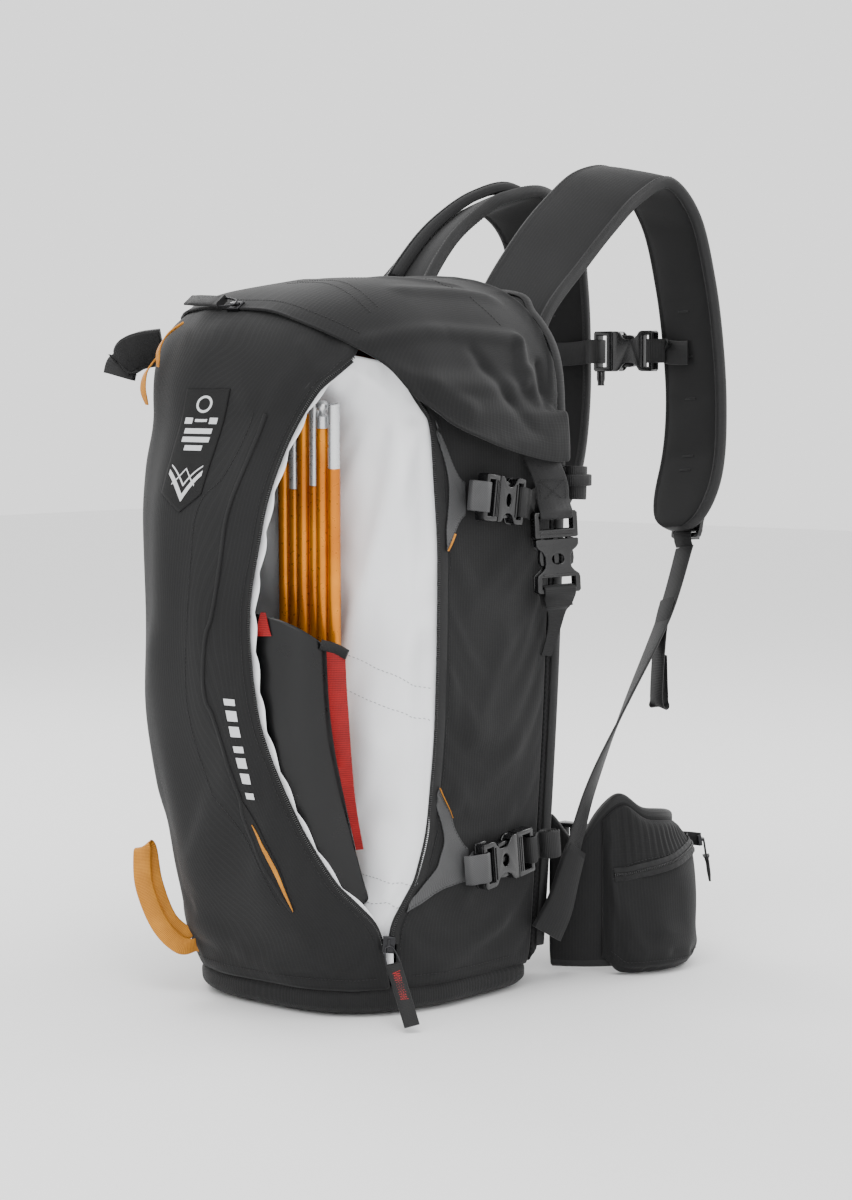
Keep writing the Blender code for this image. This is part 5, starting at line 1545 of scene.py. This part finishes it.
for name, numbers in (("upper", (0.336, 0.434, 0.362, 0.386, -0.0225)),
                      ("lower", (0.076, 0.168, 0.094, 0.118, -0.009))):
    tab = cloth_sheet(name + "_tab", lambda s, t, numbers=numbers: tab_point(t, s, *numbers), 26, 30, coated)
    finish_cloth(tab, 0.0013, node="right_" + name + "_tab")
    rows = [[(tab_point(s, 0.03 + 0.94 * k / 30, *numbers),
              Vector((1, 0, 0))) for k in range(31)] for s in (0.03, 0.97)]
    row_along(name + "_tab_stitches", rows, stitch, 0.0028, thread_black)
    tip = [tab_point(1.0 if name == "lower" else 0.0, t, *numbers) + Vector((0.0004, 0, 0)) for t in (0.02,
            0.15, 0.3, 0.45)]
    strip(name + "_tab_edge", tip, (0.2, 0.4, 1), 0.0009, 0.0016, amber_weave, 14,
          taper=lambda s: 1 - 0.8 * s)

# ------------------------------------------------------------------ side-release buckles
# Moulded acetal. The socket pinches in at the waist where the sprung arms of the plug show; both
# ends have a bar for the webbing. Plugs are pieces of their own and slide out.


def moulded(name, outline, holes, low, high, place, soft=0.0007, squeeze=1.0):
    """A moulded plate of an outline with holes, between two heights, its edges rounded."""
    curve = bpy.data.curves.new(name, "CURVE")
    curve.dimensions = "2D"
    curve.fill_mode = "BOTH"
    curve.extrude = (high - low) / 2 - soft
    curve.bevel_depth = soft
    curve.bevel_resolution = 2
    curve.offset = -soft
    for ring in [outline] + holes:
        spline = curve.splines.new("POLY")
        spline.points.add(len(ring) - 1)
        for slot, (x, y) in zip(spline.points, ring):
            slot.co = (x * squeeze, y, 0, 1)
        spline.use_cyclic_u = True
    scratch = bpy.data.objects.new(name, curve)
    bpy.context.scene.collection.objects.link(scratch)
    bpy.context.view_layer.update()
    data = bpy.data.meshes.new_from_object(scratch.evaluated_get(bpy.context.evaluated_depsgraph_get()))
    bpy.data.objects.remove(scratch)
    mesh = bmesh.new()
    mesh.from_mesh(data)
    bmesh.ops.remove_doubles(mesh, verts=mesh.verts[:], dist=0.00001)
    bmesh.ops.translate(mesh, verts=mesh.verts[:], vec=(0, 0, (low + high) / 2))
    mesh.transform(place)
    bmesh.ops.recalc_face_normals(mesh, faces=mesh.faces[:])
    piece = mesh_object(name, mesh, glossy_plastic)
    piece.data.set_sharp_from_angle(angle=math.radians(40))
    return piece


def both_sides(half_outline):
    """A whole outline from its +Y half, given from one end to the other."""
    return half_outline + [(x, -y) for x, y in reversed(half_outline) if abs(y) > 1e-9]


def box_ring(low_x, high_x, half):
    """A rectangle of four points about the buckle's long axis."""
    return [(low_x, -half), (high_x, -half), (high_x, half), (low_x, half)]


SOCKET_HALF = [(-0.0400, 0.0155), (-0.0385, 0.0170), (-0.0290, 0.0170), (-0.0265, 0.0162), (-0.0240, 0.0128),
               (-0.0215, 0.0106), (-0.0180, 0.0097), (-0.0130, 0.0099), (-0.0095, 0.0118), (-0.0072, 0.0150),
               (-0.0050, 0.0166), (-0.0008, 0.0168), (-0.0002, 0.0160)]
PLUG_HALF = [(0.0006, 0.0160), (0.0015, 0.0170), (0.0186, 0.0170), (0.0200, 0.0156)]


def socket_piece(name, place, body="pack", node=None, squeeze=1.0):
    """A buckle's socket in place of its CAD solid."""
    window = box_ring(-0.0365, -0.0285, 0.0132)
    dimple = [(-0.0150 + 0.0040 * math.cos(a),
               0.0048 * math.sin(a)) for a in [math.pi * k / 8 for k in range(16)]]
    outer = both_sides(SOCKET_HALF)
    parts = [moulded("top", outer, [window, dimple], 0.0031, 0.0052, place, 0.0007, squeeze),
             moulded("bottom", outer, [window], -0.0052, -0.0031, place, 0.0007, squeeze),
             moulded("heart", both_sides([(-0.0400, 0.0155), (-0.0385, 0.0168), (-0.0275, 0.0160),
                                          (-0.0225, 0.0098)]),
                     [window], -0.0033, 0.0033, place, 0.0003, squeeze)]
    for side in (1, -1):
        post = [(-0.0066, 0.0138 * side), (-0.0006, 0.0138 * side), (-0.0006, 0.0164 * side),
                (-0.0052, 0.0162 * side)]
        parts.append(moulded("post", post, [], -0.0033, 0.0033, place, 0.0003, squeeze))
    rib = [(x, y) for x, y in box_ring(-0.0272, -0.0258, 0.0120)]
    parts.append(moulded("rib", rib, [], 0.0046, 0.0060, place, 0.0003, squeeze))
    piece = joined(name, parts)
    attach(piece, body)
    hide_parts(node or name)
    return piece


def plug_piece(name, place, squeeze=1.0, extra=None, body=None, node=None):
    """A buckle's plug, with its tongue and sprung arms, on its own body."""
    window = box_ring(0.0070, 0.0162, 0.0132)
    parts = [moulded("frame", both_sides(PLUG_HALF), [window], -0.0050, 0.0050, place, 0.0010, squeeze),
             moulded("tongue", box_ring(-0.0190, 0.0030, 0.0020), [], -0.0022, 0.0022, place, 0.0005,
                     squeeze)]
    for side in (1, -1):
        arm = [(0.0030, 0.0088), (-0.0080, 0.0092), (-0.0150, 0.0100), (-0.0196, 0.0094), (-0.0204, 0.0108),
               (-0.0190, 0.0128), (-0.0150, 0.0136), (-0.0105, 0.0133), (-0.0078, 0.0122), (0.0030, 0.0122)]
        arm = [(x, y * side) for x, y in arm]
        parts.append(moulded("arm", arm if side < 0 else arm[::-1], [], -0.0026, 0.0026, place, 0.0006,
                             squeeze))
    for x in (0.0022, 0.0042):
        parts.append(moulded("rib", box_ring(x, x + 0.0010, 0.0130), [], 0.0044, 0.0057, place, 0.0002,
                             squeeze))
    if extra:
        parts += extra
    piece = joined(name, parts)
    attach(piece, body or name)
    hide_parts(node or name)
    return piece


def side_point(y, z, lift=0.0):
    """A point just off the bag's right side."""
    return bag(turn_at(y, rise_at(z)), rise_at(z), lift)


def mirrored(place):
    """The same place on the left side."""
    flip = Vector((-1, 1, 1))
    return place_at(place.translation * flip, place.col[0].to_3d() * flip, place.col[2].to_3d() * flip)


WEBBING_PLY = 0.0013
LOWER_WIDTH = 0.0200
UPPER_WIDTH = 0.0220
webbing_black = webbing_finish("black_webbing_weave", (0.0020, 0.0020, 0.0022), (0.0085, 0.0085, 0.0090),
                               0.0013)
webbing_twill = webbing_finish("herringbone_weave", (0.0015, 0.0015, 0.0017), (0.0230, 0.0230, 0.0240),
                               0.0018,
                               twill=True)


def looped(name, place, bar, tail, width, material, body="pack", node=None, squeeze=1.0, taper=None):
    """Webbing folded round a buckle's bar at bar, one ply running on through tail's points."""
    sign = math.copysign(1.0, bar)
    wrap = [(0.0120, 0.0006), (0.0070, 0.0030), (0.0026, 0.0061), (0.0, 0.0066), (-0.0024, 0.0060),
            (-0.0033, 0.0036),
            (-0.0034, 0.0), (-0.0033, -0.0036), (-0.0024, -0.0060), (0.0, -0.0066), (0.0026, -0.0061),
            (0.0070, -0.0034), (0.0120, -0.0012)]
    points = [place @ Vector((bar + sign * x, 0, z * squeeze)) for x, z in wrap]
    side = place.col[1].to_3d()
    points = [Vector(spot) for spot in reversed(tail)] + points
    return strip(name, points, side, width, 0.0014, material, 70, body=body, node=node, taper=taper)


def roll_of(name, centre, axis, start, turns, radius, width, body="pack"):
    """The end of a strap rolled up on itself."""
    axis = Vector(axis).normalized()
    first = Vector(start) - axis * Vector(start).dot(axis)
    first.normalize()
    second = axis.cross(first)
    points = []
    for k in range(int(turns * 14) + 1):
        a = 2 * math.pi * k / 14
        r = radius * (0.22 + 0.78 * k / (turns * 14))
        points.append(Vector(centre) + (first * math.cos(a) + second * math.sin(a)) * r)
    return strip(name, points, axis, width, 0.0015, webbing_black, len(points) * 3, body=body)


def stitched_box(name, place, low, high, half, lift, body, cross=True):
    """Webbing sewn down with a box of stitches, crossed from corner to corner."""
    corners = [(low, -half), (high, -half), (high, half), (low, half), (low, -half)]
    if cross:
        corners += [(high, half), (high, -half), (low, half)]
    line = []
    for (x1, y1), (x2, y2) in zip(corners, corners[1:]):
        for k in range(8):
            s = k / 8
            line.append((place @ Vector((x1 + (x2 - x1) * s, y1 + (y2 - y1) * s, lift)),
                         place.col[2].to_3d()))
    return row_along(name, [line], stitch, 0.0027, thread_black, body=body)


UPPER_BUCKLE = place_at(side_point(0.000, 0.374, 0.0075), (0.0, -0.97, 0.12), (1, -0.12, 0))
LOWER_BUCKLE = place_at(side_point(0.036, 0.108, 0.0085), (0.0, 1.0, 0.10), (1, -0.12, 0))
LID_BUCKLE = place_at(Vector((0.1470, 0.057, 0.343)), (-0.04, -0.04, 1.0), (0.84, -0.54, 0.05))
STERNUM_BUCKLE = place_at(Vector((0.010, 0.330, 0.485)), (-1, 0.0, 0), (0, 1, 0))
HIP_BUCKLE = place_at(Vector((0.008, 0.283, 0.070)), (-1, 0, 0), (0, 1, 0))
whistle = [turned_part("whistle", [(0.0032, 0.0), (0.0036, 0.001), (0.0036, 0.010), (0.0028, 0.013),
                                   (0.0030, 0.0155),
                                   (0.0014, 0.0155), (0.0014, 0.012)],
                       place_at(STERNUM_BUCKLE @ Vector((0.0165, -0.0135, 0.0015)),
                                STERNUM_BUCKLE.col[1].to_3d() * -1,
                                (0, 1, 0)), glossy_plastic, 16)]
for name, place, squeeze in (("right_upper", UPPER_BUCKLE, 0.75), ("right_lower", LOWER_BUCKLE, 1.0),
                             ("right_lid", LID_BUCKLE, 1.0), ("left_lower", mirrored(LOWER_BUCKLE), 1.0),
                             ("left_lid", mirrored(LID_BUCKLE), 1.0), ("sternum", STERNUM_BUCKLE, 1.0)):
    socket_piece(name + "_socket", place, squeeze=squeeze)
    plug_piece(name + "_plug", place, squeeze, whistle if name == "sternum" else None)
socket_piece("hip_buckle_socket", HIP_BUCKLE)
plug_piece("hip_buckle_plug", HIP_BUCKLE, body="hip_plug")

# ------------------------------------------------------------------ webbing on the buckles
# Nylon webbing folded round each bar and sewn back on itself. The lid's is a heavier herringbone,
# boxed and crossed with stitches; spare ends are rolled up in elastic keepers.
BAR = 0.0181
FAR_BAR = -0.0383
for hand, side_name in ((1, "right"), (-1, "left")):
    lower = LOWER_BUCKLE if hand > 0 else mirrored(LOWER_BUCKLE)
    lid = LID_BUCKLE if hand > 0 else mirrored(LID_BUCKLE)

    def hung(*spots):
        return [Vector((hand * x, y, z)) for x, y, z in spots]

    top = lid @ Vector((BAR + 0.020, 0, 0.0002))
    node = {"node": "right_lid_webbing"} if hand > 0 else {}
    looped(side_name + "_lid_strap", lid, BAR, [top, top + Vector((-0.003 * hand, -0.003, 0.012)),
                                                top + Vector((-0.009 * hand, -0.006, 0.026))], 0.0255,
           webbing_twill,
           side_name + "_lid_plug", **node)
    stitched_box(side_name + "_lid_box", lid, 0.0265, 0.0430, 0.0100, 0.0016, side_name + "_lid_plug")
    looped(side_name + "_lid_anchor", lid, FAR_BAR, hung((0.1435, 0.0650, 0.288), (0.1370, 0.0700, 0.274),
                                                         (0.1290, 0.0715, 0.254)), 0.0245, webbing_black,
           taper=lambda s: 0.35 + 0.65 * ease(s / 0.32))
    node = {"node": "right_lower_webbing"} if hand > 0 else {}
    tail = lower @ Vector((BAR + 0.014, 0, 0.0004))
    looped(side_name + "_lower_strap", lower, BAR, [tail, tail + Vector((-0.0005 * hand, 0.006, 0.0008))],
           LOWER_WIDTH,
           webbing_black, side_name + "_lower_plug", **node)
    roll_of(side_name + "_lower_roll", lower @ Vector((0.0385, 0, 0.0050)), lower.col[1].to_3d(),
            (hand, 0, 0), 3.2, 0.0080, 0.0200, side_name + "_lower_plug")
    front_tail = lower @ Vector((-0.052, 0, -0.0045))
    looped(side_name + "_lower_anchor", lower, FAR_BAR, [front_tail], UPPER_WIDTH, coated)
    roll_of(side_name + "_lid_roll", hung((0.1400, 0.0905, 0.383))[0], (0, 0.05 * hand, 1), (hand, 0, 0),
            2.6, 0.0105, 0.0250)
    loop = [hung((0.1400, 0.0905, 0.383))[0] + Vector((hand * 0.0125 * math.cos(a), 0.0125 * math.sin(a),
                                                       0.002))
            for a in [2 * math.pi * k / 16 for k in range(17)]]
    strip(side_name + "_lid_roll_keeper", loop, (0, 0, 1), 0.0085, 0.0016, webbing_black, 60)
    strip(side_name + "_roll_tab", hung((0.1285, 0.079, 0.386), (0.133, 0.080, 0.385),
                                        (0.1375, 0.0800, 0.384)),
          (0, 0, 1), 0.022, 0.0016, webbing_black, 14)
back_end = side_point(0.0700, 0.3755, 0.0022)
looped("right_upper_anchor", UPPER_BUCKLE, FAR_BAR * 0.75,
       [UPPER_BUCKLE @ Vector((-0.050, 0, -0.003)), back_end],
       UPPER_WIDTH, webbing_black, squeeze=0.80)
looped("right_upper_pull", UPPER_BUCKLE, BAR * 0.75, [UPPER_BUCKLE @ Vector((0.0255, 0, -0.0035))],
       UPPER_WIDTH,
       coated,
       "right_upper_plug", squeeze=0.80)

# ------------------------------------------------------------------ sternum strap and hip closure
# Narrow webbing from both shoulder straps to a buckle with a whistle moulded into its plug, and a
# wider pair from the hip wings to the buckle at the waist.
BRIDGES = (
    ("right_sternum_webbing", "pack", STERNUM_BUCKLE, FAR_BAR, 0.020,
     [(0.062, 0.3300, 0.484), (0.074, 0.3275, 0.483), (0.086, 0.3250, 0.483)]),
    ("left_sternum_webbing", "sternum_plug", STERNUM_BUCKLE, BAR, 0.020,
     [(-0.026, 0.3290, 0.484), (-0.038, 0.3260, 0.483), (-0.050, 0.3225, 0.483)]),
    ("right_belt_webbing", "pack", HIP_BUCKLE, FAR_BAR, 0.025,
     [(0.062, 0.2805, 0.070), (0.076, 0.2765, 0.070)]),
    ("left_belt_webbing", "hip_plug", HIP_BUCKLE, BAR, 0.025,
     [(-0.030, 0.2828, 0.070), (-0.045, 0.2822, 0.070), (-0.064, 0.2800, 0.070)]))
for name, body, place, bar, width, tail in BRIDGES:
    looped(name + "_strip", place, bar, [Vector(spot) for spot in tail], width, webbing_black, body, name)
    seat = place @ Matrix.Translation((bar + math.copysign(0.008, bar), 0, 0))
    stitched_box(name + "_tack", seat, 0.0, 0.004, width * 0.38, 0.0030, body, cross=False)
for side in (1, -1):
    roll_of("belt_tail", (side * 0.0665 - 0.006, 0.2790, 0.0700), (0, 0, 1), (0, 1, 0), 2.0, 0.0062, 0.0245,
            "pack" if side > 0 else "hip_plug")

# ------------------------------------------------------------------ ladder locks and lower straps
# A tilting adjuster hangs at the end of each strap on an amber tab. Webbing runs from it down to a
# stitched cloth tab at the bag's lower corner; its tail is folded into a loop.
for hand, side_name in ((1, "right"), (-1, "left")):
    def hung(*spots):
        return [Vector((hand * x, y, z)) for x, y, z in spots]

    stops, sides = strap_route(hand)
    frames = smooth_route(stops, 26)
    wide = smooth_route(sides, 26)
    tangent = (frames[25] - frames[23]).normalized()
    across = (wide[24] - tangent * wide[24].dot(tangent)).normalized()
    up = across.cross(tangent)
    out = up if up.y > 0 else -up
    lock = place_at(frames[24] + out * (STRAP_THICKNESS / 2 + 0.0050),
                    (frames[25] - frames[24]) + out * 0.002, out)
    outline = both_sides([(-0.0030, 0.0140), (-0.0018, 0.0162), (0.0060, 0.0166), (0.0130, 0.0158),
                          (0.0210, 0.0165),
                          (0.0255, 0.0158), (0.0270, 0.0135)])
    windows = [box_ring(0.0015, 0.0065, 0.0126), box_ring(0.0105, 0.0150, 0.0122),
               box_ring(0.0185, 0.0228, 0.0126)]
    frame_plate = moulded("plate", outline, windows, -0.0022, 0.0022, lock, 0.0009)
    lip = moulded("lip", box_ring(0.0240, 0.0275, 0.0125), [], 0.0010, 0.0044, lock, 0.0009)
    adjuster = joined(side_name + "_adjuster", [frame_plate, lip])
    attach(adjuster, side_name + "_ladder_lock")
    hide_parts(side_name + "_ladder_lock")
    tab = [lock @ Vector(spot) for spot in ((-0.016, 0, -0.0046), (-0.006, 0, -0.0036), (-0.0015, 0, -0.0030),
                                            (0.0005, 0, -0.0040), (-0.001, 0, -0.0056), (-0.006, 0, -0.0064))]
    strip(side_name + "_lock_tab", tab, lock.col[1].to_3d(), 0.0205, WEBBING_PLY, amber_weave, 30)
    start = lock @ Vector((0.0345, 0, 0.001))
    route_down = [start] + hung((0.098, 0.275, 0.268), (0.110, 0.205, 0.205), (0.124, 0.140, 0.150),
                                (0.1275, 0.114, 0.112), (0.1265, 0.0965, 0.070))
    wide_down = [Vector((x, hand * y, hand * z)) for x, y, z in (
        (0.95, -0.3, 0), (0.90, -0.4, 0.1), (0.7, -0.6, 0.35), (0.30, -0.75, 0.55), (0.1, -0.86, 0.5),
        (0.05, -0.86, 0.5))]
    threaded = [lock @ Vector(spot) for spot in ((0.0050, 0, -0.0035), (0.0086, 0, -0.0034),
                                                 (0.0110, 0, 0.0), (0.0126, 0, 0.0036),
                                                 (0.0168, 0, 0.0048), (0.0205, 0, 0.0020),
                                                 (0.0225, 0, -0.0040), (0.0290, 0, -0.0030))]
    strip(side_name + "_threaded_webbing", threaded + [start], lock.col[1].to_3d(), LOWER_WIDTH, WEBBING_PLY,
          webbing_black, 60)
    strip(side_name + "_lower_run", route_down, wide_down, LOWER_WIDTH, 0.0018, webbing_black, 110,
          node=side_name + "_lower_strap")
    tail = hung((0.0968, 0.2815, 0.282), (0.0985, 0.2700, 0.262), (0.1015, 0.2620, 0.240),
                (0.1018, 0.2590, 0.214),
                (0.1014, 0.2596, 0.2005), (0.1010, 0.2640, 0.1955), (0.1006, 0.2684, 0.2005),
                (0.1004, 0.2680, 0.216),
                (0.1005, 0.2665, 0.238))
    strip(side_name + "_webbing_tail", tail, (0.9, -0.42 * hand, 0), 0.0190, 0.0014, webbing_black, 80)
    corner = hung((0.1275, 0.1130, 0.1020), (0.1272, 0.1030, 0.0830), (0.1262, 0.0930, 0.0600),
                  (0.1215, 0.0830, 0.0400))
    strip(side_name + "_corner_tab", corner, (0.04, -0.80 * hand, 0.55 * hand), 0.0300, 0.0042, shell_cloth,
          40,
          taper=lambda s: 0.80 + 0.45 * s)

# ------------------------------------------------------------------ loops at the back and the left
# A haul loop at the top of the back, an amber loop for an ice axe sewn into the bottom seam, and the
# hook-and-loop keeper that closes round the axe's shaft.
strip("haul_handle", [(0, 0.0955, 0.462), (0, 0.112, 0.463), (0, 0.126, 0.480), (0, 0.126, 0.500),
                      (0, 0.112, 0.515),
                      (0, 0.0955, 0.516)], (1, 0, 0), LOWER_WIDTH, 0.0028, webbing_black, 70,
      node="haul_loop",
      taper=lambda s: 1 - 0.35 * math.sin(math.pi * s))
root = bag(-118, 0.03, 0.0060)
axe_path = [root + Vector(step) for step in (
    (0.006, 0.001, 0.006), (-0.002, -0.010, 0.006), (-0.014, -0.020, 0.022), (-0.027, -0.023, 0.050),
    (-0.0345, -0.0175, 0.0740), (-0.0360, -0.0130, 0.0775), (-0.0345, -0.0105, 0.0740),
                                             (-0.0255, -0.0135, 0.0500),
    (-0.0125, -0.0115, 0.0240), (0.002, -0.003, 0.0105))]
strip("axe_loop_webbing", axe_path, (0.62, 0.62, 0.48), 0.0135, WEBBING_PLY, amber_weave, 110,
      node="ice_axe_loop")
root = bag(-136, 1.17, 0.0085)
keeper = [root + Vector(step) for step in ((0.006, 0.004, 0.002), (-0.006, -0.004, 0.000),
                                           (-0.016, -0.008, -0.004),
                                           (-0.0235, -0.010, -0.012), (-0.0255, -0.011, -0.020))]
fuzzy = plain_shader("hook_and_loop", (0.0040, 0.0040, 0.0043), 0.95)
n = Nodes(fuzzy)
n.bump(n.noise(n.place(), 1400.0, 3.0), 0.0008)
strip("keeper_band", keeper, (0.55, 0.15, 0.80), 0.0280, 0.0050, webbing_black, 70, node="axe_keeper")
strip("keeper_hooks", [spot + Vector((0.0006, -0.0034, -0.0002)) for spot in keeper[:4]],
      (0.55, 0.15, 0.80), 0.0240,
      0.0014, fuzzy, 20)
for a, b in (((-103, 1.20), (-109, 1.10)), ((-112, 1.12), (-121, 1.02))):
    points = [bag(a[0] + (b[0] - a[0]) * s, a[1] + (b[1] - a[1]) * s, 0.0042 + 0.004 * math.sin(math.pi * s))
              for s in (0.0, 0.33, 0.67, 1.0)]
    strip("amber_glimpse", points, (0.8, -0.3, 0.5), 0.0070, 0.0012, amber_weave, 24,
          taper=lambda s: math.sin(math.pi * min(max(s, 0.06), 0.94)) ** 0.5)

# ------------------------------------------------------------------ airbag and its gas system
# Out of sight under the lid: the folded airbag, its cylinder held by a strap, and the inflator with
# the lever that the trigger's cable turns. They are finished for the cutaway and the open lid.
airbag_cloth = ripstop("airbag_nylon", (0.30, 0.03, 0.006), (0.62, 0.085, 0.015), rib=0.0050, thread=0.0007,
                       depth=0.00010, roughness=0.5)


def airbag_place(s, t):
    """Folded airbag: s round it, t up it."""
    angle = 2 * math.pi * s
    c = math.cos(angle)
    d = math.sin(angle)
    side = math.sin(math.pi * min(max(t, 0.0), 1.0)) ** 0.16 if 0 < t < 1 else 0.0
    pleat = 0.0030 * abs(math.sin(t * math.pi * 5)) * side - 0.0016
    x = (0.0850 + pleat) * side * math.copysign(abs(c) ** 0.6, c)
    y = -0.012 + (0.0440 + pleat) * side * math.copysign(abs(d) ** 0.6, d)
    return Vector((x, y, 0.3865 + 0.1020 * t))


folded = cloth_sheet("folded_airbag", airbag_place, 72, 44, airbag_cloth, closed=True)
bmesh_copy = bmesh.new()
bmesh_copy.from_mesh(folded.data)
bmesh.ops.recalc_face_normals(bmesh_copy, faces=bmesh_copy.faces[:])
bmesh_copy.to_mesh(folded.data)
bmesh_copy.free()
finish_cloth(folded, 0, node="airbag")
steel = plain_shader("cylinder_paint", (0.50, 0.51, 0.53), 0.30, metallic=0.9)
n = Nodes(steel)
n.roughness(n.span(n.noise(n.place(), 200.0, 3.0), 0.3, 0.7, 0.22, 0.40))
moulded_grey = plain_shader("glass_filled_nylon", (0.030, 0.030, 0.032), 0.5)
n = Nodes(moulded_grey)
n.bump(n.noise(n.place(), 900.0, 2.0), 0.0001, 0.5)
for node, material in (("gas_cylinder", steel), ("cylinder_collar", bare_metal),
                       ("inflator_head", moulded_grey),
                       ("valve_lever", pull_red), ("frame_sheet", moulded_grey),
                       ("trigger_cable", moulded_grey),
                       ("cylinder_strap", webbing_black)):
    data = bpy.data.objects[node].data
    data.materials.clear()
    data.materials.append(material)
